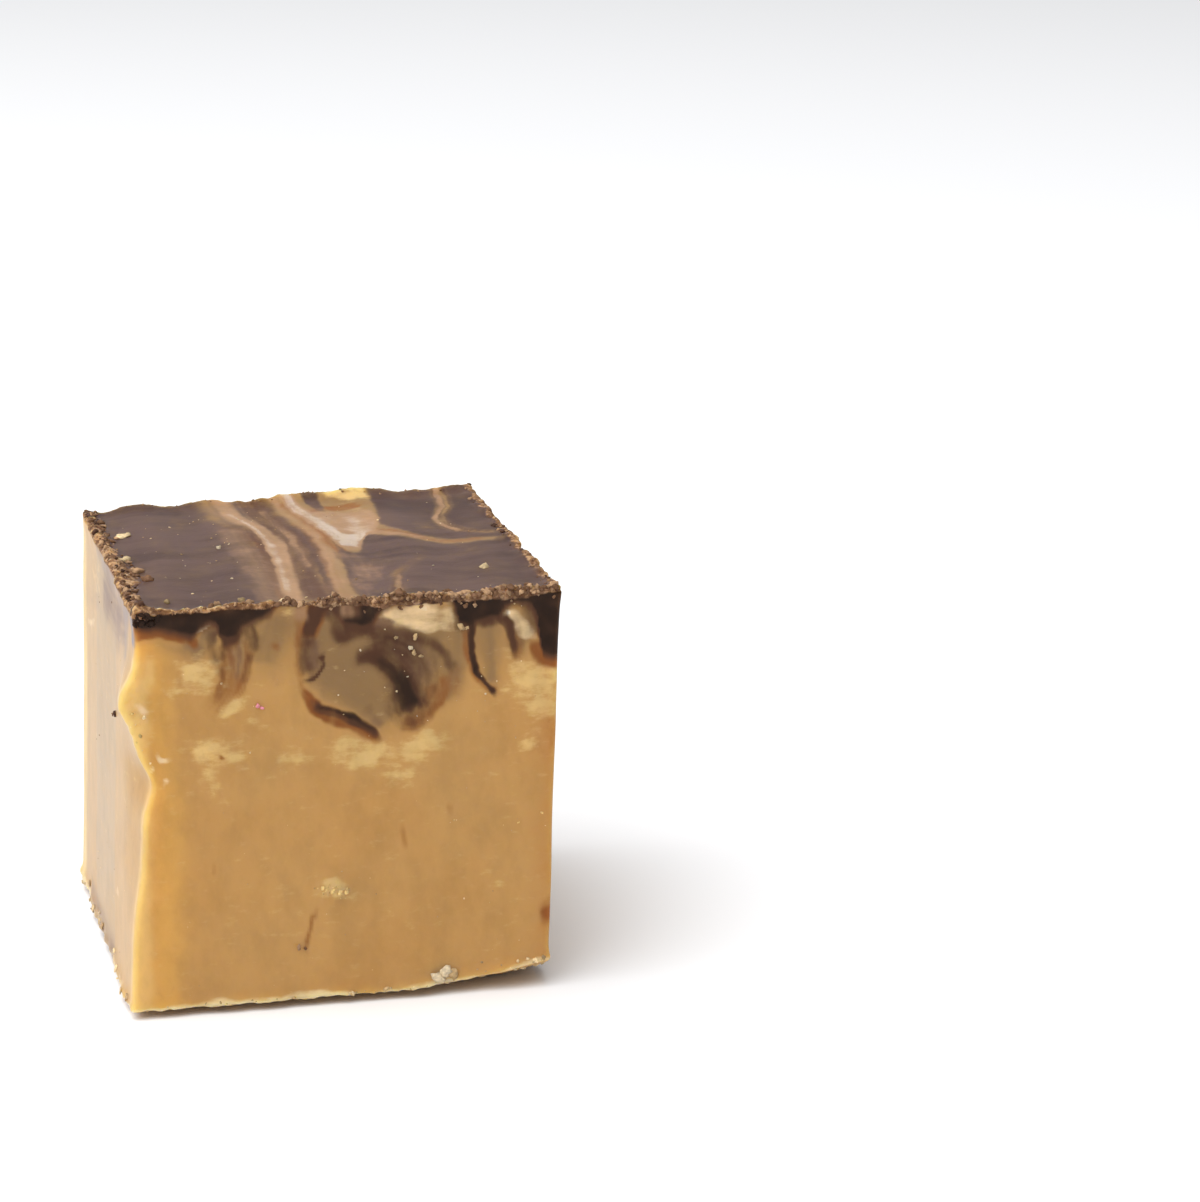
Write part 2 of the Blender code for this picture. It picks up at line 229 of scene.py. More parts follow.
# Each stroke of the marbling, or of the painted glow, sheen and shade: its kind, its strength,
# how soft its edge is in millimetres, how combed it is, its half-width at its start and at
# its end, and the few points that its curve runs through. On the front and the back the
# points are x and z, on the left and the right y and z, and on the top x and y.
FRONT_STROKES = (
    # Painted glow: yellower caramel down the left edge of the front, where light shines through the
    # corner.
    ("honey", 0.42, 0.90, 0.0, 0.15, 0.20,
     ((0.0, 24.0), (-0.4, 20.2), (0.5, 17.5), (0.9, 15.0), (0.6, 9.0), (0.1, 0.0))),
    ("honey", 0.55, 0.70, 0.0, 0.80, 0.40, ((0.4, 22.0), (0.2, 20.0), (0.8, 18.0))),
    # Painted glow: a broad amber brightening along the left of the front.
    ("amber", 0.80, 2.20, 0.0, 0.60, 0.60, ((1.0, 24.0), (1.2, 18.0), (1.7, 11.0), (1.1, 0.0))),
    # The golden patch of pressed-in crumbs, in its own colour.
    ("honey", 0.85, 0.40, 0.5, 0.30, 0.25, ((11.2, 7.5), (12.1, 7.6), (13.0, 7.2))),
    # Painted glow near the front left edge.
    ("honey", 0.60, 0.50, 0.3, 0.20, 0.20, ((1.3, 23.0), (1.2, 21.0))),
    # Painted shade: a darker strip down the right edge of the front.
    ("rust", 0.42, 2.60, 0.0, 0.40, 0.40, ((26.3, 19.0), (26.3, 0.0))),
    ("veil", 0.90, 1.35, 0.2, 0.95, 1.25, ((12.0, 24.6), (12.2, 22.6), (13.2, 21.0))),
    ("veil", 0.90, 1.35, 0.2, 1.25, 0.65, ((13.2, 21.0), (14.8, 19.8), (16.4, 18.6))),
    ("veil", 0.90, 1.35, 0.2, 0.95, 0.95, ((13.6, 23.0), (16.6, 22.8), (19.2, 22.4))),
    ("veil", 0.70, 1.35, 0.2, 1.05, 0.55, ((16.6, 22.0), (17.6, 20.0), (17.4, 18.6))),
    ("veil", 0.85, 0.90, 0.3, 0.30, 0.20, ((3.5, 24.0), (4.0, 23.2), (4.8, 22.8))),
    ("mauve", 0.50, 0.80, 0.3, 0.20, 0.15, ((3.8, 23.8), (4.3, 23.0))),
    ("veil", 0.80, 1.00, 0.4, 0.35, 0.20, ((19.2, 21.6), (19.6, 20.3), (19.2, 18.8))),
    ("rust", 0.42, 0.90, 0.5, 0.30, 0.20, ((19.6, 21.4), (19.7, 20.0), (19.2, 18.8))),
    ("veil", 0.45, 1.20, 0.3, 0.15, 0.15, ((1.4, 23.9), (3.0, 23.4), (4.8, 23.2))),
    ("veil", 0.85, 1.50, 0.4, 0.70, 0.15, ((8.8, 25.2), (8.7, 23.8), (8.3, 21.8))),
    ("veil", 0.95, 1.20, 0.3, 0.65, 1.25, ((11.6, 21.0), (12.8, 20.9), (14.0, 20.4))),
    ("veil", 0.85, 1.20, 0.3, 0.55, 0.25, ((14.0, 20.0), (14.8, 18.8), (15.3, 17.5))),
    ("veil", 0.80, 0.90, 0.3, 0.35, 0.35, ((13.2, 22.8), (14.6, 22.9), (15.4, 22.7))),
    ("veil", 0.85, 1.20, 0.4, 0.45, 0.15, ((19.9, 24.6), (20.0, 22.4), (19.8, 19.8))),
    ("veil", 0.95, 0.80, 0.3, 0.50, 0.10, ((21.8, 24.2), (21.9, 22.2), (22.2, 19.8))),
    ("brown", 0.66, 0.55, 0.2, 0.30, 0.25, ((21.2, 23.9), (22.5, 24.0))),
    ("veil", 0.80, 1.20, 0.3, 0.35, 0.15, ((24.2, 24.4), (23.9, 22.8), (23.2, 21.6))),
    ("veil", 0.90, 0.35, 0.2, 0.25, 0.22, ((12.1, 25.4), (11.9, 24.0), (11.7, 22.9))),
    ("veil", 1.00, 0.30, 0.0, 0.50, 0.35, ((5.2, 25.0), (4.9, 24.2), (4.6, 23.5))),
    ("veil", 0.60, 0.40, 0.6, 0.40, 0.25, ((6.5, 23.2), (6.6, 22.2), (6.4, 21.2))),
    ("mauve", 0.75, 0.35, 0.3, 0.25, 0.30, ((13.8, 24.0), (15.3, 24.2), (16.3, 23.8))),
    ("mauve", 0.70, 0.70, 0.4, 0.40, 0.40, ((11.1, 23.8), (11.0, 22.4), (11.1, 21.2))),
    ("mauve", 0.80, 0.70, 0.4, 0.55, 0.50, ((15.6, 23.0), (16.7, 22.6), (17.6, 21.4), (17.6, 19.8))),
    ("mauve", 0.50, 0.50, 0.2, 0.35, 0.30, ((14.6, 18.4), (15.3, 17.5))),
    ("mauve", 0.45, 0.40, 0.2, 0.30, 0.25, ((23.2, 24.2), (23.9, 23.3))),
    ("rust", 0.90, 0.25, 0.2, 0.32, 0.20, ((0.3, 24.3), (1.8, 24.4), (3.6, 24.0))),
    ("rust", 0.70, 0.25, 0.0, 0.16, 0.12, ((3.9, 24.0), (4.0, 23.2))),
    ("rust", 0.85, 0.20, 0.0, 0.16, 0.16, ((8.0, 25.75), (9.3, 25.75))),
    ("rust", 0.66, 0.80, 0.8, 0.60, 0.25,
     ((6.3, 23.8), (6.5, 22.4), (6.1, 21.0), (5.5, 20.0), (4.9, 19.0))),
    ("rust", 0.60, 0.40, 0.2, 0.18, 0.16, ((8.9, 23.6), (8.9, 22.7))),
    ("rust", 0.26, 0.60, 0.4, 0.30, 0.25, ((9.8, 25.0), (9.8, 23.0), (9.9, 21.0))),
    ("rust", 0.60, 0.36, 0.5, 0.08, 0.12, ((10.3, 25.4), (10.25, 23.6), (10.2, 21.8), (10.35, 20.3))),
    ("rust", 0.90, 0.35, 0.2, 0.60, 0.40, ((11.7, 26.0), (11.3, 24.8), (10.8, 23.4))),
    ("brown", 0.42, 0.50, 0.4, 0.30, 0.25, ((10.6, 23.6), (10.5, 22.4), (10.7, 21.0))),
    ("rust", 0.80, 0.35, 0.2, 0.40, 0.35, ((12.3, 26.0), (13.2, 25.8), (14.0, 25.7))),
    ("rust", 1.00, 0.42, 0.3, 0.12, 0.36, ((10.3, 20.4), (10.8, 19.7), (11.6, 19.0), (12.6, 18.35))),
    ("rust", 1.00, 0.42, 0.3, 0.40, 0.18, ((12.2, 18.5), (13.4, 18.0), (14.2, 17.5), (15.0, 16.7))),
    ("rust", 0.75, 0.45, 0.4, 0.14, 0.14, ((18.9, 20.9), (19.15, 19.8), (18.9, 18.9), (18.2, 18.3))),
    ("rust", 0.75, 0.60, 0.4, 0.40, 0.45,
     ((18.3, 20.4), (18.4, 19.2), (17.9, 18.3), (17.1, 17.9), (16.4, 18.2))),
    ("rust", 0.75, 0.35, 0.2, 0.30, 0.14,
     ((20.7, 23.6), (20.75, 22.2), (21.0, 21.2), (21.6, 20.0), (22.3, 19.3))),
    ("rust", 0.55, 0.50, 0.2, 0.40, 0.25, ((23.4, 23.2), (23.6, 22.0), (23.6, 21.2))),
    ("rust", 0.90, 0.45, 0.2, 0.40, 0.35, ((24.9, 22.6), (25.3, 21.4), (26.6, 21.2))),
    ("rust", 0.45, 0.25, 0.2, 0.14, 0.10, ((16.4, 11.5), (16.6, 9.7))),
    ("rust", 0.42, 0.25, 0.2, 0.14, 0.10, ((19.4, 12.6), (19.45, 11.4))),
    ("rust", 0.55, 0.22, 0.3, 0.12, 0.10, ((11.1, 6.4), (10.7, 5.1), (10.3, 3.9))),
    ("rust", 0.75, 0.14, 0.0, 0.09, 0.09, ((4.8, 9.45), (4.8, 9.05))),
    ("rust", 0.85, 0.35, 0.0, 0.30, 0.28, ((25.6, 5.4), (25.6, 4.4))),
    ("rust", 0.70, 0.14, 0.0, 0.11, 0.10, ((5.4, 16.55), (5.6, 16.3))),
    ("brown", 0.90, 0.35, 0.4, 0.55, 0.30, ((6.1, 25.2), (6.1, 24.2), (6.3, 23.3))),
    ("brown", 0.88, 0.80, 0.6, 0.50, 0.30, ((5.7, 24.4), (5.4, 23.2), (5.6, 22.2))),
    ("rust", 0.64, 0.60, 0.8, 0.36, 0.15, ((5.5, 23.0), (5.6, 21.8), (5.4, 20.8), (4.9, 19.6))),
    ("brown", 0.50, 0.50, 0.6, 0.30, 0.12, ((5.6, 22.4), (5.6, 21.4), (5.1, 19.9))),
    ("brown", 0.84, 0.70, 0.5, 0.35, 0.25, ((7.0, 24.6), (7.5, 23.4), (7.4, 22.8))),
    ("rust", 0.62, 0.50, 0.8, 0.26, 0.12, ((7.4, 23.2), (7.2, 22.2), (6.8, 21.2), (6.2, 20.2))),
    ("brown", 0.50, 0.40, 0.5, 0.20, 0.10, ((7.4, 23.0), (7.2, 22.0), (6.6, 20.8))),
    ("mauve", 0.62, 0.60, 0.7, 0.50, 0.30, ((6.4, 24.2), (6.6, 22.6), (6.3, 21.0))),
    ("brown", 1.00, 0.30, 0.2, 0.45, 0.25, ((11.7, 26.0), (11.3, 25.0), (11.0, 24.2), (10.8, 23.5))),
    ("brown", 0.60, 0.65, 0.5, 0.30, 0.30, ((10.9, 23.8), (10.8, 22.4), (10.9, 21.0))),
    ("brown", 0.80, 0.14, 0.0, 0.08, 0.06,
     ((11.65, 22.3), (11.8, 21.8), (11.5, 21.2), (11.1, 20.85), (10.5, 20.75))),
    ("brown", 0.75, 0.20, 0.0, 0.14, 0.12, ((11.7, 22.5), (11.5, 22.1))),
    ("brown", 0.65, 0.50, 0.3, 0.45, 0.30, ((12.9, 24.9), (12.8, 23.9), (13.0, 23.0))),
    ("brown", 0.60, 0.45, 0.3, 0.30, 0.25, ((12.9, 23.7), (14.0, 23.9), (15.0, 23.7))),
    ("brown", 0.62, 0.55, 0.4, 0.14, 0.22,
     ((12.3, 23.1), (14.0, 23.55), (15.6, 23.5), (17.1, 23.3), (18.3, 22.8), (19.1, 22.0), (19.8, 20.9))),
    ("brown", 0.62, 1.20, 0.5, 0.40, 0.75,
     ((14.6, 22.6), (16.0, 22.8), (17.2, 22.2), (18.0, 21.0), (17.8, 19.6), (17.2, 18.5))),
    ("brown", 0.66, 0.60, 0.3, 0.30, 0.30, ((15.0, 23.0), (16.4, 22.7), (17.2, 21.8))),
    ("brown", 0.50, 0.60, 0.3, 0.40, 0.35, ((15.5, 21.3), (15.8, 20.0), (15.9, 18.8), (16.4, 18.0))),
    ("brown", 1.05, 0.85, 0.5, 0.05, 0.70,
     ((13.6, 21.8), (14.6, 22.1), (15.5, 21.7), (16.3, 21.0), (16.8, 20.0), (16.9, 19.2), (17.1, 18.3))),
    ("brown", 0.40, 0.45, 0.3, 0.30, 0.20, ((14.4, 19.3), (14.9, 18.4))),
    ("brown", 0.90, 0.30, 0.2, 0.12, 0.22, ((11.0, 19.5), (12.1, 18.85), (13.4, 18.35))),
    ("brown", 0.90, 0.30, 0.0, 0.22, 0.12, ((13.0, 18.4), (14.2, 17.8), (15.0, 16.9))),
    ("brown", 0.95, 0.25, 0.3, 0.30, 0.12, ((22.7, 24.4), (23.15, 23.4), (23.4, 22.6), (23.5, 21.6))),
    ("brown", 0.62, 0.60, 0.3, 0.40, 0.40, ((24.3, 24.9), (24.8, 24.0), (25.0, 22.6))),
    ("brown", 0.45, 0.60, 0.3, 0.35, 0.25, ((23.6, 23.6), (23.9, 22.6), (23.8, 21.8))),
    ("brown", 0.60, 0.45, 0.3, 0.25, 0.20, ((19.7, 25.6), (19.95, 24.4), (20.2, 23.2))),
    ("dark", 0.78, 0.22, 0.2, 0.03, 0.11, ((11.4, 19.3), (12.3, 18.9), (13.0, 18.65), (13.8, 18.25))),
    ("dark", 0.78, 0.22, 0.2, 0.11, 0.03, ((12.8, 18.7), (13.8, 18.2), (14.3, 17.8), (14.8, 17.2))),
    ("dark", 1.05, 0.90, 0.4, 0.05, 0.46,
     ((14.9, 22.0), (16.2, 21.1), (16.7, 20.2), (16.85, 19.4), (17.1, 18.6))),
    ("brown", 1.00, 0.22, 0.0, 0.15, 0.12, ((20.85, 24.4), (20.93, 22.6), (21.05, 21.4), (21.4, 20.5))),
    ("brown", 1.00, 0.22, 0.0, 0.12, 0.05,
     ((21.0, 21.6), (21.2, 20.9), (21.6, 20.25), (21.95, 19.7), (22.2, 19.1))),
    ("dark", 0.62, 0.18, 0.0, 0.15, 0.11, ((20.85, 24.4), (20.93, 22.6), (21.05, 21.4), (21.4, 20.5))),
    ("dark", 0.58, 0.18, 0.0, 0.11, 0.05,
     ((21.0, 21.6), (21.2, 20.9), (21.6, 20.25), (21.95, 19.7), (22.2, 19.1))),
    ("cream", 0.64, 0.80, 0.4, 0.40, 0.35, ((15.7, 24.6), (17.6, 24.5), (19.5, 24.2))),
    ("cream", 0.58, 0.50, 0.4, 0.25, 0.20, ((16.4, 23.95), (18.9, 23.7))),
    ("cream", 0.98, 0.45, 0.2, 0.18, 0.16, ((15.4, 24.7), (16.1, 24.85))),
    ("cream", 0.98, 0.50, 0.2, 0.18, 0.16, ((17.4, 25.0), (18.3, 24.9))),
    ("cream", 0.66, 0.45, 0.4, 0.16, 0.14, ((19.5, 25.2), (19.5, 23.8))),
    ("cream", 0.70, 0.45, 0.3, 0.35, 0.30, ((23.0, 24.5), (23.7, 23.8), (24.4, 22.9))),
    ("cream", 1.30, 0.14, 0.0, 0.12, 0.08, ((23.0, 24.3), (23.3, 24.4))),
    ("cream", 0.75, 0.35, 0.0, 0.25, 0.25, ((24.1, 23.2), (24.7, 22.7))),
    ("cream", 1.10, 0.10, 0.0, 0.07, 0.07, ((3.9, 24.2), (4.5, 24.55), (5.0, 24.85))),
    ("cream", 0.85, 0.22, 0.0, 0.10, 0.08, ((1.5, 16.9), (1.8, 16.4), (2.4, 16.5))),
    ("cream", 0.80, 0.18, 0.0, 0.08, 0.08, ((1.7, 15.15), (2.2, 15.15))),
    ("cream", 0.72, 0.30, 0.3, 0.10, 0.14, ((0.1, 20.1), (0.6, 19.7), (0.95, 19.1))),
    ("cream", 0.75, 0.20, 0.0, 0.12, 0.10, ((1.0, 16.1), (1.3, 15.9))),
    ("fleck", 1.00, 0.68, 0.0, 0.35, 0.32, ((9.9, 26.8), (10.0, 25.9), (9.95, 25.3))),
    ("fleck", 0.85, 1.10, 0.0, 0.50, 0.50, ((2.9, 21.5), (4.2, 21.8), (5.4, 21.4))),
    ("fleck", 0.65, 0.51, 0.0, 0.13, 0.21, ((2.1, 20.2), (3.1, 20.9))),
    ("fleck", 0.90, 0.59, 0.0, 0.13, 0.24, ((5.2, 18.9), (6.0, 19.3), (6.8, 19.9))),
    ("fleck", 0.70, 0.68, 0.0, 0.17, 0.17, ((7.0, 18.5), (8.0, 18.5))),
    ("fleck", 0.85, 0.94, 0.0, 0.28, 0.35, ((3.4, 16.6), (4.6, 17.0), (5.9, 16.7))),
    ("fleck", 1.00, 0.77, 0.0, 0.32, 0.28, ((6.3, 16.9), (6.4, 16.1))),
    ("fleck", 0.85, 0.77, 0.0, 0.24, 0.21, ((4.6, 15.9), (4.6, 15.2))),
    ("fleck", 0.60, 0.85, 0.0, 0.28, 0.24, ((4.6, 14.6), (5.3, 14.3))),
    ("fleck", 0.95, 0.85, 0.0, 0.21, 0.32, ((12.3, 16.3), (13.2, 16.7), (13.9, 16.5))),
    ("fleck", 1.00, 0.94, 0.0, 0.32, 0.35, ((13.0, 15.7), (14.2, 15.7), (15.3, 15.5))),
    ("fleck", 0.85, 0.59, 0.0, 0.17, 0.14, ((14.8, 16.5), (15.5, 16.3))),
    ("fleck", 0.95, 1.02, 0.0, 0.35, 0.42, ((16.2, 15.9), (17.4, 16.2), (18.8, 16.6))),
    ("fleck", 0.75, 0.68, 0.0, 0.24, 0.21, ((15.6, 14.6), (17.4, 14.3))),
    ("fleck", 0.90, 1.60, 0.0, 0.50, 0.70, ((23.2, 19.9), (24.6, 20.2), (26.2, 19.6))),
    ("fleck", 0.85, 1.10, 0.0, 0.40, 0.40, ((24.4, 18.9), (25.4, 18.3), (25.8, 17.4))),
    ("fleck", 0.90, 0.59, 0.0, 0.14, 0.17, ((23.9, 15.8), (24.9, 16.5))),
    ("fleck", 0.50, 1.02, 0.0, 0.28, 0.28, ((8.6, 16.2), (10.6, 15.9))),
    ("fleck", 1.00, 0.50, 0.0, 0.36, 0.30, ((11.2, 7.5), (12.1, 7.7), (13.1, 7.2))),
    ("fleck", 0.55, 0.51, 0.0, 0.14, 0.14, ((22.2, 7.0), (23.0, 6.9))),
    ("fleck", 0.50, 0.51, 0.0, 0.14, 0.14, ((8.5, 7.9), (9.3, 7.6))),
)
LEFT_STROKES = (
    # Painted sheen: lilac grey near the front top of the left face.
    ("lilac", 0.50, 1.10, 0.5, 0.60, 0.30, ((3.2, 25.6), (3.6, 24.0), (3.9, 21.6))),
    # Painted shade and sheen: the whole left face in a duller, greyer caramel.
    ("frost", 1.00, 2.00, 0.3, 12.5, 12.5, ((9.0, 12.5), (19.0, 12.5))),
    # Painted glow: yellow caramel along the front edge and the far edge of the left face; seen from
    # behind it is a pale upright strip.
    ("honey", 0.45, 0.90, 0.2, 0.60, 0.70, ((0.0, 23.0), (0.0, 12.0), (0.0, 0.0))),
    ("honey", 1.00, 1.60, 0.2, 1.80, 2.00, ((27.6, 25.0), (27.4, 12.0), (27.4, 0.0))),
    ("honey", 0.45, 0.60, 0.3, 0.70, 0.30, ((0.5, 20.4), (3.4, 19.6))),
    # More painted sheen at the front top corner and along the top of the left face.
    ("lilac", 1.00, 0.45, 0.2, 0.80, 0.25, ((0.9, 26.4), (0.9, 25.0), (0.7, 23.2))),
    ("lilac", 0.60, 1.20, 0.4, 0.60, 0.50, ((1.0, 25.4), (5.5, 25.4), (12.0, 25.2), (19.0, 25.4))),
    ("lilac", 0.32, 1.60, 0.5, 1.20, 0.60, ((4.4, 25.0), (5.0, 22.0), (5.4, 18.0))),
    ("mauve", 0.68, 2.20, 0.4, 1.00, 1.00, ((4.0, 24.2), (9.5, 23.3), (15.5, 23.8))),
    ("mauve", 0.30, 1.20, 0.4, 0.60, 0.50, ((7.6, 24.0), (8.0, 22.4), (9.4, 20.6))),
    ("mauve", 0.34, 1.40, 0.4, 0.80, 0.60, ((12.0, 25.0), (13.6, 23.0), (15.0, 21.4))),
    ("mauve", 0.36, 0.90, 0.4, 0.40, 0.30, ((17.2, 22.2), (19.6, 21.6), (22.4, 20.8))),
    ("mauve", 0.62, 2.20, 0.3, 0.60, 0.60, ((9.0, 0.9), (15.0, 0.7), (22.0, 1.0))),
    ("cream", 0.60, 0.18, 0.5, 0.14, 0.10, ((2.6, 24.4), (2.8, 22.0), (2.9, 19.6))),
    ("cream", 0.55, 0.20, 0.5, 0.18, 0.10, ((6.6, 22.6), (8.0, 22.1))),
    ("cream", 0.60, 0.25, 0.5, 0.20, 0.12, ((19.8, 19.9), (22.4, 19.2), (24.6, 18.6))),
    ("cream", 0.50, 0.40, 0.0, 0.25, 0.16, ((7.4, 5.9), (9.2, 5.2))),
    ("rust", 0.60, 0.20, 0.0, 0.12, 0.10, ((3.2, 13.8), (3.6, 13.2))),
    ("rust", 0.45, 0.20, 0.0, 0.12, 0.10, ((4.4, 10.2), (5.2, 8.6))),
    ("rust", 0.40, 0.25, 0.0, 0.20, 0.20, ((0.8, 11.6), (1.4, 11.4))),
    ("fleck", 0.45, 1.36, 0.3, 0.56, 0.35, ((17.0, 23.4), (19.5, 22.8), (22.0, 23.3))),
)
RIGHT_STROKES = (
    ("veil", 0.80, 1.50, 0.0, 0.95, 0.85, ((5.0, 23.6), (6.2, 21.6), (8.0, 20.4))),
    ("veil", 0.70, 1.50, 0.0, 0.85, 0.65, ((18.6, 23.5), (19.8, 21.6), (20.0, 19.8))),
    ("mauve", 0.80, 0.65, 0.2, 0.45, 0.40, ((14.0, 23.2), (13.0, 21.4), (11.4, 20.4))),
    ("rust", 0.70, 0.55, 0.2, 0.30, 0.20, ((16.4, 22.6), (17.2, 20.6), (16.7, 18.4), (14.8, 17.2))),
    ("rust", 0.60, 0.50, 0.0, 0.40, 0.30, ((8.4, 22.4), (8.9, 21.2))),
    ("brown", 0.95, 0.50, 0.2, 0.55, 0.30, ((15.3, 23.4), (14.6, 21.2), (13.0, 19.6), (11.2, 18.9))),
    ("brown", 0.80, 0.45, 0.2, 0.40, 0.20, ((15.6, 22.8), (16.6, 20.6), (16.1, 18.6), (14.6, 17.6))),
    ("brown", 0.60, 0.55, 0.2, 0.40, 0.20, ((23.4, 24.4), (23.9, 22.2), (22.8, 20.6))),
    ("brown", 0.60, 0.55, 0.2, 0.35, 0.20, ((8.2, 24.4), (8.8, 22.6), (8.2, 21.2))),
    ("dark", 1.00, 0.28, 0.0, 0.32, 0.10, ((2.2, 23.2), (3.1, 21.2), (4.6, 19.4))),
    ("dark", 1.00, 0.28, 0.0, 0.28, 0.10, ((15.9, 22.8), (17.4, 20.4), (19.4, 18.8))),
    ("cream", 0.80, 0.40, 0.3, 0.50, 0.35, ((10.6, 24.3), (11.8, 23.8), (12.8, 23.1))),
    ("cream", 0.60, 0.40, 0.3, 0.35, 0.30, ((20.6, 24.3), (21.4, 23.6))),
    ("fleck", 0.80, 0.30, 0.4, 0.35, 0.30, ((6.0, 17.6), (7.4, 17.1), (8.4, 17.3))),
    ("fleck", 0.70, 0.30, 0.4, 0.30, 0.25, ((12.4, 15.9), (13.8, 15.3))),
    ("fleck", 0.70, 0.30, 0.4, 0.30, 0.25, ((20.6, 16.9), (22.0, 16.2))),
)
BACK_STROKES = (
    ("veil", 0.80, 1.50, 0.0, 1.05, 0.65, ((16.8, 22.6), (15.6, 21.0), (14.8, 19.4))),
    ("veil", 0.60, 1.50, 0.0, 0.75, 0.65, ((8.4, 23.4), (8.0, 21.8), (7.4, 20.6))),
    ("mauve", 0.70, 0.65, 0.2, 0.45, 0.30, ((19.0, 22.2), (17.6, 20.8), (16.2, 20.6))),
    ("rust", 0.60, 0.60, 0.2, 0.30, 0.20, ((6.6, 22.2), (7.4, 20.6), (9.4, 19.2))),
    ("rust", 0.60, 0.60, 0.2, 0.30, 0.20, ((12.6, 22.0), (12.2, 20.4), (13.2, 19.2))),
    ("brown", 0.95, 0.50, 0.2, 0.55, 0.30,
     ((19.8, 23.0), (18.6, 20.8), (16.6, 19.8), (15.0, 20.4), (15.2, 21.9))),
    ("brown", 0.70, 0.55, 0.2, 0.45, 0.25, ((5.0, 23.4), (4.4, 21.4), (5.2, 19.6))),
    ("brown", 0.60, 0.50, 0.2, 0.35, 0.20, ((12.4, 24.4), (12.0, 22.6), (12.6, 21.0))),
    ("dark", 1.00, 0.28, 0.0, 0.36, 0.10, ((20.2, 23.2), (21.6, 21.2), (22.0, 19.2))),
    ("dark", 1.00, 0.28, 0.0, 0.28, 0.10, ((6.0, 23.0), (7.0, 21.0), (8.8, 19.8))),
    ("cream", 0.85, 0.40, 0.3, 0.60, 0.40, ((14.4, 24.7), (15.8, 24.4), (17.0, 23.9))),
    ("cream", 0.60, 0.40, 0.3, 0.35, 0.30, ((2.4, 24.4), (3.2, 23.6))),
    ("fleck", 0.80, 0.30, 0.4, 0.35, 0.30, ((9.4, 17.6), (11.0, 17.0), (12.2, 17.2))),
    ("fleck", 0.70, 0.30, 0.4, 0.30, 0.25, ((18.2, 16.4), (19.6, 15.8))),
    ("fleck", 0.60, 0.50, 0.4, 0.50, 0.40, ((23.8, 20.8), (24.8, 20.2))),
)
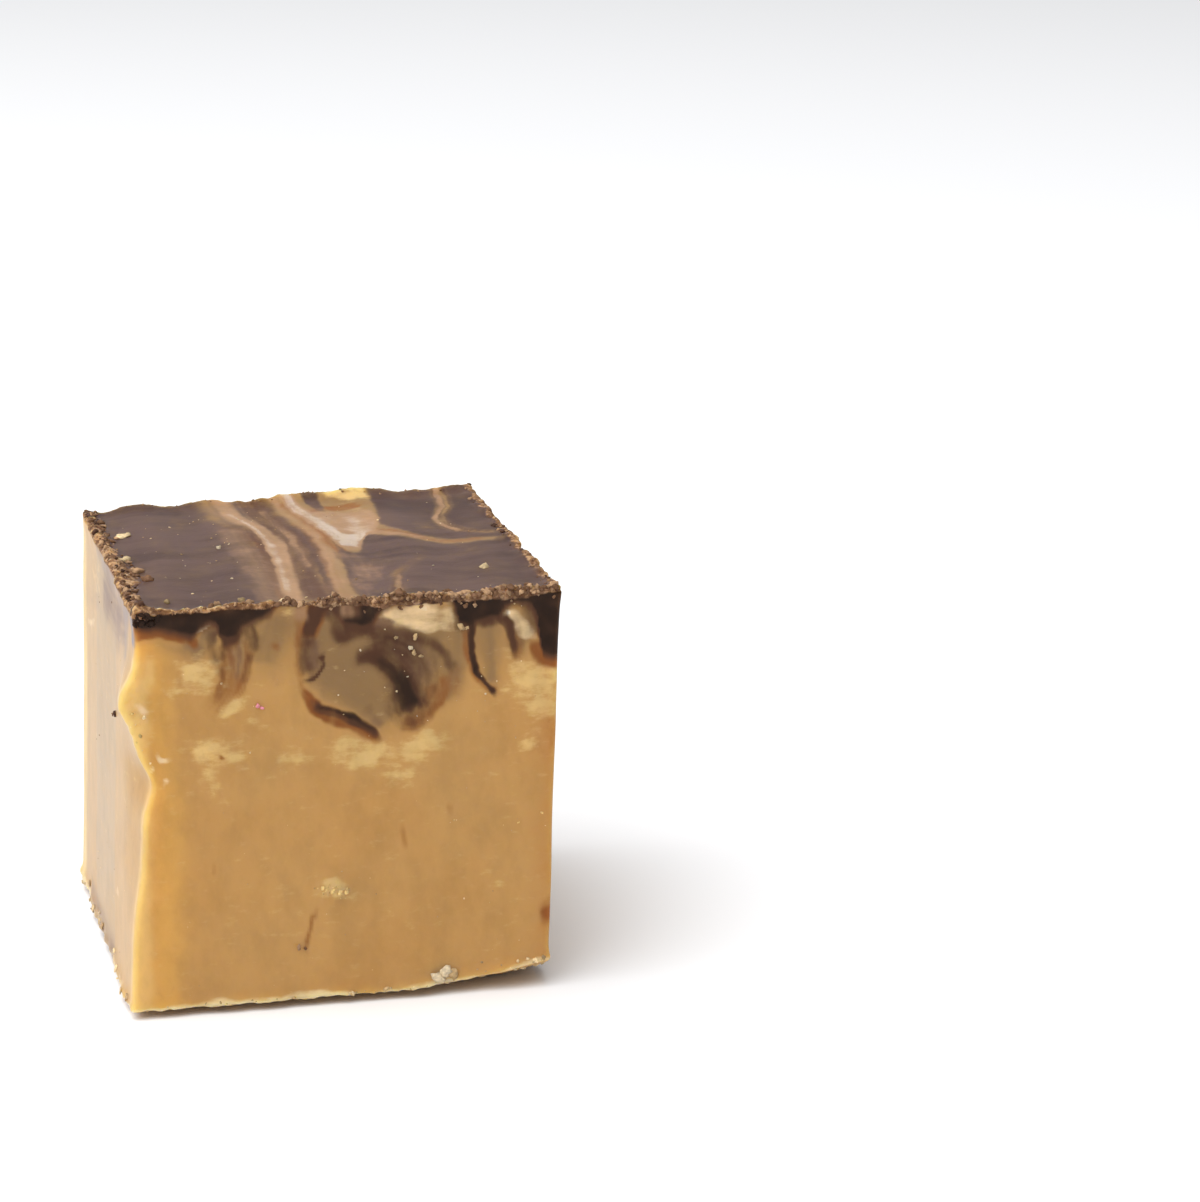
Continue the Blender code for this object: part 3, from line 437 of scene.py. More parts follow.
TOP_STROKES = (
    ("streak", 0.38, 1.30, 0.2, 0.60, 0.70, ((8.9, 20.0), (9.1, 15.0), (9.3, 9.0), (9.2, 1.0))),
    ("streak", 0.10, 0.80, 0.3, 0.60, 0.60,
     ((11.2, 27.0), (12.2, 21.0), (12.7, 15.0), (12.4, 8.0), (12.0, 0.0))),
    ("streak", 0.34, 1.10, 0.3, 0.40, 0.50, ((15.2, 12.4), (15.3, 8.0), (14.8, 4.0), (14.4, 0.0))),
    ("streak", 0.30, 1.20, 0.5, 0.50, 0.30, ((16.9, 11.0), (16.4, 8.0), (16.2, 5.0))),
    ("clear", 0.6, 1.30, 0.5, 0.80, 0.50,
     ((9.2, 29.5), (9.3, 24.0), (10.0, 20.0), (10.6, 15.0), (10.3, 8.0), (10.0, -2.0))),
    ("clear", 0.8, 0.50, 0.3, 1.10, 1.10,
     ((11.6, 29.5), (12.0, 24.0), (12.6, 19.0), (12.8, 14.0), (12.2, 7.0), (11.9, -2.0))),
    ("clear", 0.9, 0.45, 0.3, 0.50, 0.50,
     ((12.8, 29.5), (13.2, 24.0), (14.1, 18.0), (14.3, 13.0), (13.8, 7.0), (13.4, -2.0))),
    ("clear", 1.0, 0.30, 0.0, 0.50, 1.20, ((13.8, 29.5), (14.4, 25.0), (15.6, 20.0), (15.9, 16.4))),
    ("clear", 1.0, 0.30, 0.0, 1.20, 0.35, ((15.9, 17.4), (15.9, 15.0), (15.7, 12.7))),
    ("clear", 1.0, 0.40, 0.2, 1.70, 1.20, ((17.6, 29.5), (17.6, 24.0), (17.3, 18.4))),
    ("clear", 0.8, 0.50, 0.3, 0.70, 0.20, ((17.6, 19.4), (19.2, 16.6), (21.6, 14.4), (25.4, 13.2))),
    ("clear", 0.8, 0.40, 0.3, 0.40, 0.20,
     ((24.3, 29.5), (23.9, 23.5), (22.9, 19.4), (23.6, 16.4), (25.6, 14.9))),
    ("clear", 0.6, 0.40, 0.5, 0.35, 0.15, ((16.6, 1.4), (17.1, 4.0), (17.6, 6.6), (19.4, 9.4))),
    ("brown", 0.7, 0.60, 0.4, 0.80, 0.60, ((9.6, 21.0), (10.1, 16.0), (9.9, 9.0), (9.6, 1.0))),
    ("brown", 0.8, 0.60, 0.4, 0.90, 0.90,
     ((11.4, 29.5), (11.9, 24.0), (12.7, 18.0), (12.8, 13.0), (12.2, 6.0), (11.9, -2.0))),
    ("brown", 0.7, 0.50, 0.4, 0.45, 0.40, ((14.8, 12.6), (15.3, 9.0), (14.8, 5.0), (14.4, -1.0))),
    ("brown", 0.8, 0.50, 0.5, 0.45, 0.30, ((16.6, 1.4), (17.1, 4.0), (17.6, 6.6), (19.4, 9.4))),
    ("brown", 0.9, 0.40, 0.6, 0.45, 0.30,
     ((24.3, 29.5), (23.9, 23.5), (22.9, 19.4), (23.6, 16.4), (25.6, 14.9))),
    ("rust", 0.9, 0.90, 0.5, 0.40, 0.35, ((10.0, 20.0), (10.4, 15.0), (10.2, 9.0), (9.9, 2.0))),
    ("rust", 0.6, 0.50, 0.5, 0.40, 0.30, ((13.3, 21.0), (13.8, 16.0), (13.6, 8.0), (13.2, -1.0))),
    ("rust", 0.8, 0.40, 0.4, 0.30, 0.35,
     ((13.2, 26.0), (14.1, 22.0), (14.7, 18.6), (14.8, 14.0), (15.4, 11.6))),
    ("rust", 0.7, 0.50, 0.4, 0.35, 0.30, ((15.0, 24.0), (15.8, 21.6), (16.4, 19.0))),
    ("rust", 0.9, 0.40, 0.3, 0.60, 0.50, ((15.9, 24.3), (17.2, 24.5), (18.6, 24.8))),
    ("rust", 0.8, 0.45, 0.5, 0.45, 0.25, ((17.4, 18.6), (19.2, 16.6), (21.6, 14.5), (24.6, 13.5))),
    ("mauve", 0.8, 0.70, 0.5, 0.80, 0.80,
     ((11.2, 27.0), (11.9, 22.0), (12.6, 17.0), (12.5, 10.0), (12.0, 1.0))),
    ("mauve", 0.7, 0.60, 0.6, 0.60, 0.30, ((15.8, 11.0), (15.4, 7.0), (14.8, 1.0))),
    ("dark", 1.0, 0.25, 0.0, 0.30, 0.40, ((14.6, 29.0), (15.2, 26.8), (15.6, 25.0))),
    ("dark", 0.8, 0.40, 0.2, 0.35, 0.10, ((15.6, 25.4), (15.7, 24.2), (15.5, 23.2))),
    ("dark", 0.6, 0.20, 0.3, 0.12, 0.14, ((12.9, 23.0), (13.3, 18.0), (13.3, 13.0), (12.9, 5.0))),
    ("streak", 0.58, 0.80, 0.5, 0.50, 0.30, ((8.8, 29.5), (9.3, 24.0), (10.3, 20.6))),
    ("streak", 0.72, 0.55, 0.4, 0.35, 0.40,
     ((9.3, 29.5), (9.9, 24.0), (10.7, 20.6), (11.3, 17.6), (11.35, 14.6))),
    ("streak", 0.80, 0.45, 0.4, 0.42, 0.32,
     ((11.5, 16.0), (11.3, 12.4), (11.0, 9.0), (10.6, 5.0), (10.3, -2.0))),
    ("streak", 1.15, 0.30, 0.3, 0.10, 0.18, ((9.6, 24.0), (10.6, 20.2), (11.0, 17.0), (10.95, 13.0))),
    ("streak", 1.15, 0.30, 0.3, 0.20, 0.12, ((10.9, 16.4), (10.95, 13.0), (10.7, 9.0), (10.3, 4.0))),
    ("streak", 0.50, 0.25, 0.6, 0.20, 0.16, ((11.9, 25.0), (12.3, 21.0), (12.6, 17.0), (12.4, 9.0))),
    ("streak", 0.62, 0.60, 0.5, 0.18, 0.18,
     ((12.9, 29.5), (13.1, 24.4), (13.8, 19.6), (14.2, 16.1), (14.1, 11.0))),
    ("streak", 0.62, 0.75, 0.5, 0.25, 0.20, ((14.2, 13.0), (13.9, 9.0), (13.5, 5.0), (13.2, -1.0))),
    ("streak", 0.90, 0.60, 0.2, 1.10, 0.90, ((15.4, 23.4), (16.3, 20.4), (16.6, 18.0))),
    ("streak", 0.95, 0.60, 0.2, 0.90, 0.60, ((17.6, 23.2), (17.9, 20.4), (17.3, 17.4))),
    ("streak", 1.35, 0.35, 0.3, 0.22, 0.55,
     ((13.6, 29.5), (14.1, 25.0), (14.8, 21.0), (15.4, 17.4), (15.6, 15.0))),
    ("streak", 1.40, 0.60, 0.1, 0.80, 0.45, ((16.3, 17.6), (16.1, 15.6), (15.8, 13.6))),
    ("streak", 1.30, 0.35, 0.3, 0.35, 0.25, ((16.3, 15.0), (17.0, 16.8), (17.7, 18.4))),
    ("streak", 0.80, 0.30, 0.5, 0.30, 0.12, ((17.8, 17.6), (19.4, 16.0), (22.4, 13.9))),
    ("streak", 0.75, 0.20, 0.3, 0.16, 0.10, ((24.1, 28.0), (23.6, 23.0), (22.6, 19.6), (23.4, 16.3))),
    ("streak", 0.45, 0.25, 0.3, 0.14, 0.10, ((16.8, 1.4), (17.2, 4.0), (17.6, 6.4))),
    ("fleck", 1.00, 0.50, 0.0, 0.70, 0.80, ((16.6, 27.6), (17.8, 26.8), (19.4, 26.8))),
)
# The lower edge of the chocolate where it shows as a band: place along the wall, height.
FRONT_BAND = (
    (-0.5, 24.9), (0.3, 25.0), (1.0, 24.9), (1.9, 24.8), (2.3, 24.6), (3.0, 24.4),
    (3.8, 24.15), (4.2, 24.5), (5.0, 25.0), (5.4, 24.9), (5.6, 24.1), (6.0, 23.8),
    (6.5, 24.0), (6.9, 24.6), (7.4, 24.9), (8.0, 25.1), (8.7, 25.6), (9.2, 26.3),
    (10.9, 26.5), (11.4, 25.8), (12.3, 25.8), (12.8, 25.2), (13.1, 24.4), (14.0, 24.2),
    (14.7, 24.3), (15.1, 24.9), (15.4, 25.3), (16.2, 25.7), (18.2, 25.8), (19.7, 25.7),
    (20.0, 24.8), (20.2, 23.9), (20.7, 23.8), (21.1, 24.0), (22.0, 24.2), (22.6, 24.2),
    (22.9, 24.9), (23.8, 25.1), (24.6, 24.9), (24.9, 24.2), (25.1, 23.0), (25.3, 21.9),
    (25.8, 21.6), (26.2, 21.6), (27.0, 21.8),
)
LEFT_BAND = ((-1.0, 24.6), (0.3, 25.2), (1.0, 25.8), (28.0, 25.8))
# The chocolate band starts and is full this far above its lower edge, with a brown and a
# rust margin below it.
BAND_SPAN = (-0.25, 0.18)
BROWN_SPAN = (-0.85, 0.10)
RUST_SPAN = (-1.05, -0.25)
TOP_DARK = 1.25
# The smoky caramel below the band: its middle height, and how it fades over height and x.
SMOKE_HEIGHT = 22.4
SMOKE_SPAN = (-1.8, 2.2)
SMOKE_START = (4.0, 7.5)
# The pale, dry skin of the foot.
FOOT_CREAM = 0.70
FOOT_CREAM_RISE = 0.30
# How far a surface has to face up, or out, to count as the top, or as a wall.
TOP_TILT = 0.72
WALL_TILT = 0.6
# The strokes bend with noise of these lengths and sizes, fray into strands, and fade out
# at their ends and with the depth below their own face.
WARP = ((2.2, 0.16), (0.8, 0.13), (0.42, 0.06))
STRAND_WIDTH = 0.30
STRAND_LENGTH = 2.6
END_FADE = 0.5
FACE_FADE = (1.3, 0.5)
PARTS = (
    "frost", "amber", "honey", "lilac", "fleck", "veil", "cream",
    "mauve", "rust", "brown", "dark", "bloom", "streak", "rim",
)


def smooth_route(points, steps=6):
    """A Catmull-Rom curve through a few given points."""
    knots = np.array([points[0], *points, points[-1]], dtype=float)
    share = (np.arange(steps) / steps)[:, None]
    runs = []
    for a, b, c, d in zip(knots, knots[1:], knots[2:], knots[3:]):
        bend = (2 * a - 5 * b + 4 * c - d) * share**2 + (3 * b - a - 3 * c + d) * share**3
        runs.append(b + 0.5 * ((c - a) * share + bend))
    return np.concatenate([*runs, knots[-1:]])


def inside_stroke(u, v, start, end, points):
    """How far inside a tapering stroke each spot lies, how far aside it is, and how far along.

    All are in millimetres, and the first is 0 on the outline of the stroke.
    """
    line = smooth_route(points)
    runs = np.linalg.norm(np.diff(line, axis=0), axis=-1)
    ends = np.concatenate([[0], np.cumsum(runs)])
    best = np.full(len(u), -50.0)
    aside, along = np.zeros(len(u)), np.zeros(len(u))
    for first, last, begun, length in zip(line, line[1:], ends, runs):
        run = (last - first) / length
        step = np.clip((u - first[0]) * run[0] + (v - first[1]) * run[1], 0, length)
        off_u, off_v = u - first[0] - step * run[0], v - first[1] - step * run[1]
        width = start + (end - start) * (begun + step) / ends[-1]
        inside = width - np.hypot(off_u, off_v)
        nearer = inside > best
        best = np.where(nearer, inside, best)
        aside = np.where(nearer, off_v * run[0] - off_u * run[1], aside)
        along = np.where(nearer, begun + step, along)
    return best, aside, along


def marbling(places, way_out):
    """How much of each part of the marbling, and of the painted glow, sheen and shade, every point shows,
    by name.
    """
    x, y, z = places.T
    shift_u = sum(size * rumple(places, length) for length, size in WARP)
    shift_v = sum(size * rumple(places, length, 40.0) for length, size in WARP)
    wander = 0.35 * rumple(places, 1.1, 17.0) + 0.8 * rumple(places, 3.1, 29.0)
    floor = layer_floor(x / WIDTH, y / DEPTH) + wander
    edge_front = np.interp(x + 0.7 * shift_u, *zip(*FRONT_BAND)) + 0.8 * shift_v
    edge_left = np.interp(y, *zip(*LEFT_BAND)) + 0.6 * shift_v
    on_top = way_out[:, 2] > TOP_TILT
    on_front = -way_out[:, 1] > WALL_TILT
    on_left = -way_out[:, 0] > WALL_TILT
    edge = np.where(on_front, edge_front, np.where(on_left, edge_left, floor))
    drift = rumple(places * np.array([1.0, 1.0, 0.35]), 1.4, 51.0) + wander
    parts = {part: np.zeros(len(x)) for part in PARTS}
    band = (0.90 + 0.30 * rumple(places, 0.9, 61.0)) * ramp(z - edge, *BAND_SPAN)
    parts["dark"] = np.where(on_top, TOP_DARK, band)
    parts["brown"] = np.where(on_top, 0.0, 0.90 * ramp(z - edge + 0.25 * shift_u, *BROWN_SPAN))
    parts["rust"] = np.where(on_top, 0.0, (0.40 + 0.35 * drift) * ramp(z - edge, *RUST_SPAN))
    smoky = 0.72 * ramp(z - SMOKE_HEIGHT - 1.6 * drift, *SMOKE_SPAN) * (0.75 + 0.6 * drift)
    parts["veil"] = np.where(on_top, 0.9, np.where(on_left, 0.3, ramp(x, *SMOKE_START)) * smoky)
    # Faces that look up get the lighter, greyer chocolate: painted sheen with some bloom.
    parts["bloom"] = ramp(way_out[:, 2], 0.6, 0.95) * (z > HEIGHT / 2)
    rise = z - base_height(np.clip(x / WIDTH, 0, 1), np.clip(y / DEPTH, 0, 1))
    dry = ramp(FOOT_CREAM_RISE + 0.5 * wander - rise, -0.22, 0.16) * (way_out[:, 2] > -0.8)
    parts["cream"] = FOOT_CREAM * dry
    faces = (
        (FRONT_STROKES, x, z, y),
        (LEFT_STROKES, y, z, x),
        (RIGHT_STROKES, y, z, WIDTH - x),
        (BACK_STROKES, x, z, DEPTH - y),
        (TOP_STROKES, x, y, HEIGHT - z),
    )
    for strokes, u, v, depth in faces:
        near = np.flatnonzero((depth < FACE_FADE[0]) & (z > 0.5))
        weight = ramp(-depth[near], -FACE_FADE[0], -FACE_FADE[1])
        across, back = (u + shift_u)[near], (v + shift_v)[near]
        for number, (kind, strength, softness, combed, start, end, points) in enumerate(strokes):
            reach, aside, along = inside_stroke(across, back, start, end, points)
            to_end = np.minimum(along, along.max() - along)
            cover = strength * weight * ramp(reach, -softness, 0.25 * softness)
            cover *= 0.4 + 0.6 * ramp(to_end, 0, min(END_FADE, 0.35 * along.max()))
            hit = np.flatnonzero(cover > 0.01)
            if combed and len(hit):
                run = max(STRAND_LENGTH, 0.4 * along.max())
                own = 0 * along + 7.7 * number
                strands = np.stack([aside / STRAND_WIDTH, along / run, own], axis=-1)
                cover[hit] *= 1 - combed * np.clip(0.5 - 0.9 * rumple(strands[hit], 1.0), 0, 1)
            if kind == "clear":
                parts["dark"][near] = np.minimum(parts["dark"][near], 1 - cover)
            else:
                had = parts[kind][near]
                parts[kind][near] = np.maximum(np.maximum(had, cover), had + cover * (1 - had))
    return parts


# How far in from the left edge its crumbs reach: place along the edge, reach.
LEFT_RIM = ((-1.0, 0.5), (2.0, 0.6), (5.5, 1.0), (9.5, 1.7), (13.7, 1.2), (18.1, 0.9), (28.0, 1.0))


def rim_crumbs(places):
    """How crumbly the top edges are at each point: widest along the left one."""
    x, y, z = places.T
    wander = 0.5 * rumple(places, 1.3, 5.0) + 0.35 * rumple(places, 0.5, 9.0)
    left_reach = np.interp(y, *zip(*LEFT_RIM)) - 0.35 + 0.9 * wander
    across_top = np.maximum.reduce([
        ramp(left_reach - (x - 0.4), -0.22, 0.22),
        ramp(0.36 + 0.5 * wander - y, -0.2, 0.2),
        0.8 * ramp(0.4 + 0.6 * wander - (WIDTH + 0.4 - x), -0.2, 0.2),
        0.6 * ramp(0.2 + 0.5 * wander - (DEPTH - y), -0.2, 0.2),
    ])
    on_front = y < 0.5
    ledge = 0.34 * ramp(x, 10.0, 16.0) * (1 - 0.6 * ramp(x, 24.0, 26.0)) + 0.4 * bell(x, 0.8, 0.9)
    down_wall = -0.14 + 0.30 * wander + np.where(on_front, ledge, 0.2)
    return across_top * ramp(z - (HEIGHT - 0.05 - down_wall), -0.15, 0.15)


# A patch of the front where crumbs were pressed in: its middle in x and z, and its relief.
CRUMB_PATCH = (12.1, 7.4)
PATCH_RELIEF = 1.4


def rough_skin(places, crumbs):
    """How far the finished surface stands out from the plain shape, in millimetres."""
    z = places[:, 2]
    grain = 0.18 * rumple(places, 0.7, 3.0) + 0.13 * rumple(places, 0.33, 7.0)
    foot = bell(z, 0.4, 0.5)
    burr = foot * (0.12 * rumple(places, 0.7, 11.0) + 0.06 * rumple(places, 0.3, 13.0))
    chipped = bell(places[:, 0], 0, 0.9) * bell(places[:, 1], 0, 0.9) * bell(z, 15.0, 6.0)
    teeth = 0.16 * rumple(places, 0.5, 23.0) * chipped
    patch = bell(places[:, 0], CRUMB_PATCH[0], 1.1) * bell(z, CRUMB_PATCH[1], 0.5) * (places[:, 1] < 1)
    crumbly = crumbs * (0.05 + grain) + PATCH_RELIEF * patch * (0.1 + grain)
    return crumbly + burr + teeth + 0.012 * rumple(places, 2.3, 21.0)


def spread(weights):
    """Places from 0 to 1 of grid lines whose spacings are in these proportions."""
    return np.concatenate([[0], np.cumsum(weights)]) / np.sum(weights)


def fine_at_ends(cells, finest, reach):
    """Spacings of grid lines that crowd together towards both ends of their span."""
    steps = np.arange(cells)
    return 1 - (1 - finest) * (np.exp(-steps / reach) + np.exp(-steps[::-1] / reach))


def gridded_cube(cells):
    """A unit cube with its low corner at the origin and its faces cut into a grid."""
    mesh = bmesh.new()
    bmesh.ops.create_cube(mesh, size=1.0)
    for axis, count in enumerate(cells):
        along = [
            edge
            for edge in mesh.edges
            if abs(edge.verts[0].co[axis] - edge.verts[1].co[axis]) > 0.5
        ]
        bmesh.ops.subdivide_edges(mesh, edges=along, cuts=count - 1, use_grid_fill=True)
    bmesh.ops.translate(mesh, verts=mesh.verts, vec=(0.5, 0.5, 0.5))
    return mesh


def gridded_piece(name, spacings):
    """The finely gridded cube, with its marbling as attributes of its points."""
    mesh = gridded_cube([len(spacing) for spacing in spacings])
    corners = np.array([vert.co[:] for vert in mesh.verts])
    across, back, up = (
        spread(spacing)[np.rint(corners[:, axis] * len(spacing)).astype(int)]
        for axis, spacing in enumerate(spacings)
    )
    places, way_out, skin = shaped(across, back, up)
    crumbs = rim_crumbs(places)
    parts = marbling(places, way_out)
    parts["rim"] = crumbs
    places = places + way_out * (skin * rough_skin(places, crumbs))[:, None]
    for vert, place in zip(mesh.verts, in_row(places).tolist()):
        vert.co = place
    bmesh.ops.recalc_face_normals(mesh, faces=mesh.faces)
    data = bpy.data.meshes.new(name)
    mesh.to_mesh(data)
    mesh.free()
    for part, amounts in parts.items():
        attribute = data.attributes.new(part, "FLOAT", "POINT")
        attribute.data.foreach_set("value", np.clip(amounts, 0, 1.3).astype(np.float32))
    data.shade_smooth()
    piece = bpy.data.objects.new(name, data)
    bpy.context.scene.collection.objects.link(piece)
    return piece


# The fudge's colours, from the caramel to the chocolate and the crumbs on it; a few of them are painted
# glow, sheen and shade.
CARAMEL = (0.520, 0.300, 0.104, 1.0)
DEEP_CARAMEL = (0.485, 0.270, 0.088, 1.0)
# Painted glow colour for the left of the front.
AMBER = (0.60, 0.335, 0.086, 1.0)
# Painted glow colour; also the golden colour of the crumb patch and of some crumbs.
HONEY = (0.66, 0.46, 0.18, 1.0)
# Painted shade and sheen colour for the left face; also a colour of crumbs at the foot.
FROST = (0.42, 0.285, 0.155, 1.0)
PALE_CARAMEL = (0.64, 0.445, 0.185, 1.0)
VEIL = (0.275, 0.165, 0.072, 1.0)
CREAM = (0.74, 0.56, 0.32, 1.0)
WHITE_CREAM = (0.86, 0.77, 0.59, 1.0)
STREAK = (0.37, 0.215, 0.115, 1.0)
WHITE_STREAK = (0.52, 0.41, 0.32, 1.0)
MAUVE = (0.17, 0.090, 0.058, 1.0)
# Painted sheen colour for the left face.
LILAC = (0.18, 0.145, 0.165, 1.0)
# Rust-brown marbling; also the painted shade down the right edge of the front.
RUST = (0.25, 0.085, 0.018, 1.0)
MILK_BROWN = (0.088, 0.036, 0.016, 1.0)
DARK = (0.022, 0.009, 0.004, 1.0)
# The top's chocolate, lighter and greyer: painted sheen with some bloom; the rubbed one is its darker
# mottle.
BLOOMED_DARK = (0.108, 0.063, 0.052, 1.0)
RUBBED_DARK = (0.066, 0.036, 0.029, 1.0)
CRUMB_DARK = (0.070, 0.032, 0.018, 1.0)
CRUMB_BROWN = (0.17, 0.087, 0.045, 1.0)
CRUMB_TAN = (0.38, 0.23, 0.125, 1.0)


def moved_span(tree, value, old, new):
    """A node that moves a socket's value from one span of numbers to another."""
    node = tree.nodes.new("ShaderNodeMapRange")
    for name, number in zip(("From Min", "From Max", "To Min", "To Max"), (*old, *new)):
        node.inputs[name].default_value = number
    tree.links.new(value, node.inputs["Value"])
    return node


def marbling_group():
    """The marbled colour: caramel with each part of the marbling, and the painted glow, sheen and shade,
    laid over it in turn.
    """
    group = bpy.data.node_groups.new("marbled fudge", "ShaderNodeTree")
    sockets = group.interface
    for part in PARTS:
        sockets.new_socket(part.capitalize(), in_out="INPUT", socket_type="NodeSocketFloat")
    sockets.new_socket("Color", in_out="OUTPUT", socket_type="NodeSocketColor")
    sockets.new_socket("Roughness", in_out="OUTPUT", socket_type="NodeSocketFloat")
    sockets.new_socket("Height", in_out="OUTPUT", socket_type="NodeSocketFloat")
    nodes, link = group.nodes, group.links.new
    given, made = nodes.new("NodeGroupInput"), nodes.new("NodeGroupOutput")
    place = nodes.new("ShaderNodeTexCoord").outputs["Object"]

    def grain(scale, detail, stretch=(1, 1, 1)):
        """Noise over the object, from 0 to 1, with this many bumps to a metre."""
        turn = nodes.new("ShaderNodeMapping")
        turn.inputs["Scale"].default_value = stretch
        link(place, turn.inputs["Vector"])
        bumps = nodes.new("ShaderNodeTexNoise")
        bumps.inputs["Scale"].default_value = scale
        bumps.inputs["Detail"].default_value = detail
        bumps.inputs["Roughness"].default_value = 0.6
        link(turn.outputs["Vector"], bumps.inputs["Vector"])
        return bumps.outputs["Fac"]

    def sum_of(a, b, times):
        """One value plus so many times another."""
        node = nodes.new("ShaderNodeMath")
        node.operation = "MULTIPLY_ADD"
        link(b, node.inputs[0])
        node.inputs[1].default_value = times
        link(a, node.inputs[2])
        return node.outputs[0]

    def eased(value, low, high):
        """0 below low, 1 above high, and a smooth rise between."""
        node = nodes.new("ShaderNodeMapRange")
        node.interpolation_type = "SMOOTHSTEP"
        node.inputs["From Min"].default_value = low
        node.inputs["From Max"].default_value = high
        link(value, node.inputs["Value"])
        return node.outputs["Result"]

    def mixed(under, over, share):
        """One colour over another, each a plain colour or a socket."""
        node = nodes.new("ShaderNodeMix")
        node.data_type = "RGBA"
        link(share, node.inputs["Factor"])
        for socket, colour in ((node.inputs[6], under), (node.inputs[7], over)):
            if isinstance(colour, tuple):
                socket.default_value = colour
            else:
                link(colour, socket)
        return node.outputs[2]

    wisps = grain(620, 6, (1, 1, 0.6))
    flakes = grain(900, 6, (1, 1, 2.2))
    fine = grain(2600, 3)
    soft = grain(130, 3)
    rubbed = grain(330, 5, (0.30, 1.5, 1))
    # The chocolate of the top, painted lighter and greyer in mottled brush marks: painted sheen with some
    # bloom.
    bloomed = mixed(RUBBED_DARK, BLOOMED_DARK, eased(sum_of(rubbed, soft, 0.6), 0.60, 0.95))
    chocolate = mixed(DARK, bloomed, given.outputs["Bloom"])
    patchy = sum_of(fine, wisps, 0.7)
    crumb = mixed(CRUMB_DARK, CRUMB_BROWN, eased(patchy, 0.64, 0.84))
    crumb = mixed(crumb, CRUMB_TAN, eased(patchy, 0.82, 1.0))
    colour = mixed(CARAMEL, DEEP_CARAMEL, eased(soft, 0.35, 0.7))
    # The left face gets a duller, greyer caramel: painted shade and sheen.
    colour = mixed(colour, FROST, given.outputs["Frost"])
    # Each layer over the last: its colour, its part of the marbling, the noise that breaks
    # it up and how strongly, and where it starts and is full.
    for over, part, noisy, times, low, high in (
        # Amber and honey here are painted glow at the lit edges; honey is also the golden crumb patch.
        (AMBER, "Amber", wisps, 0.3, 0.15, 1.15),
        (HONEY, "Honey", wisps, 0.3, 0.15, 1.15),
        (VEIL, "Veil", wisps, 1.0, 0.50, 1.6),
        (PALE_CARAMEL, "Fleck", flakes, 2.4, 1.35, 2.35),
        (CREAM, "Cream", flakes, 0.8, 0.55, 1.25),
        (WHITE_CREAM, "Cream", flakes, 0.8, 1.3, 1.7),
        (MAUVE, "Mauve", wisps, 0.6, 0.35, 1.25),
        # Lilac is painted sheen.
        (LILAC, "Lilac", wisps, 0.5, 0.35, 1.25),
        # Rust is marbling, and also the painted shade down the front's right edge.
        (RUST, "Rust", wisps, 0.8, 0.5, 1.35),
        (MILK_BROWN, "Brown", wisps, 0.8, 0.5, 1.35),
        (chocolate, "Dark", wisps, 0.8, 0.55, 1.50),
        (STREAK, "Streak", wisps, 0.6, 0.40, 1.1),
        (WHITE_STREAK, "Streak", wisps, 0.6, 1.1, 1.6),
        (crumb, "Rim", fine, 0.5, 0.45, 0.95),
    ):
        shown = sum_of(given.outputs[part], noisy, times)
        colour = mixed(colour, over, eased(shown, low, high))
    mottle = moved_span(group, sum_of(wisps, soft, 0.5), (0.55, 0.95), (0.90, 1.10))
    toned = nodes.new("ShaderNodeHueSaturation")
    link(mottle.outputs["Result"], toned.inputs["Value"])
    link(colour, toned.inputs["Color"])
    link(toned.outputs["Color"], made.inputs["Color"])
    rough = moved_span(group, given.outputs["Dark"], (0.0, 1.0), (0.34, 0.40))
    crumbly = moved_span(group, given.outputs["Rim"], (0.0, 1.0), (0.34, 0.85))
    link(rough.outputs["Result"], crumbly.inputs["To Min"])
    link(crumbly.outputs["Result"], made.inputs["Roughness"])
    link(sum_of(fine, soft, 0.5), made.inputs["Height"])
    return group


fudge = bpy.data.materials.new("marbled fudge")
fudge.use_nodes = True
fudge_nodes, fudge_link = fudge.node_tree.nodes, fudge.node_tree.links.new
fudge_shader = fudge_nodes["Principled BSDF"]
marbled = fudge_nodes.new("ShaderNodeGroup")
marbled.node_tree = marbling_group()
for part in PARTS:
    attribute = fudge_nodes.new("ShaderNodeAttribute")
    attribute.attribute_name = part
    fudge_link(attribute.outputs["Fac"], marbled.inputs[part.capitalize()])
bump = fudge_nodes.new("ShaderNodeBump")
bump.inputs["Strength"].default_value = 0.12
bump.inputs["Distance"].default_value = 0.0001
fudge_link(marbled.outputs["Color"], fudge_shader.inputs["Base Color"])
fudge_link(marbled.outputs["Roughness"], fudge_shader.inputs["Roughness"])
fudge_link(marbled.outputs["Height"], bump.inputs["Height"])
fudge_link(bump.outputs["Normal"], fudge_shader.inputs["Normal"])
# Light goes about this deep into the fudge, and red light deeper than blue.
GLOW_DEPTH = 2.2 * MM
GLOW_SHARES = (1.0, 0.85, 0.38)
fudge_shader.inputs["IOR"].default_value = 1.22
fudge_shader.inputs["Subsurface Weight"].default_value = 1.0
fudge_shader.inputs["Subsurface Radius"].default_value = GLOW_SHARES
fudge_shader.inputs["Subsurface Scale"].default_value = GLOW_DEPTH

LINES_ACROSS = fine_at_ends(196, 0.35, 8)
LINES_BACK = fine_at_ends(90, 0.25, 6)
# Up the walls the lines are close at the foot and over the swirls, and wide between.
STEPS_UP = np.arange(112)
LINES_UP = 1 - 0.72 * np.exp(-STEPS_UP / 6) - 0.66 * ramp(STEPS_UP, 34, 44)

fudge_cube = gridded_piece("marbled_fudge", (LINES_ACROSS, LINES_BACK, LINES_UP))
fudge_cube.data.materials.append(fudge)
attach(fudge_cube, "root")
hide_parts("caramel_body", "chocolate_top")

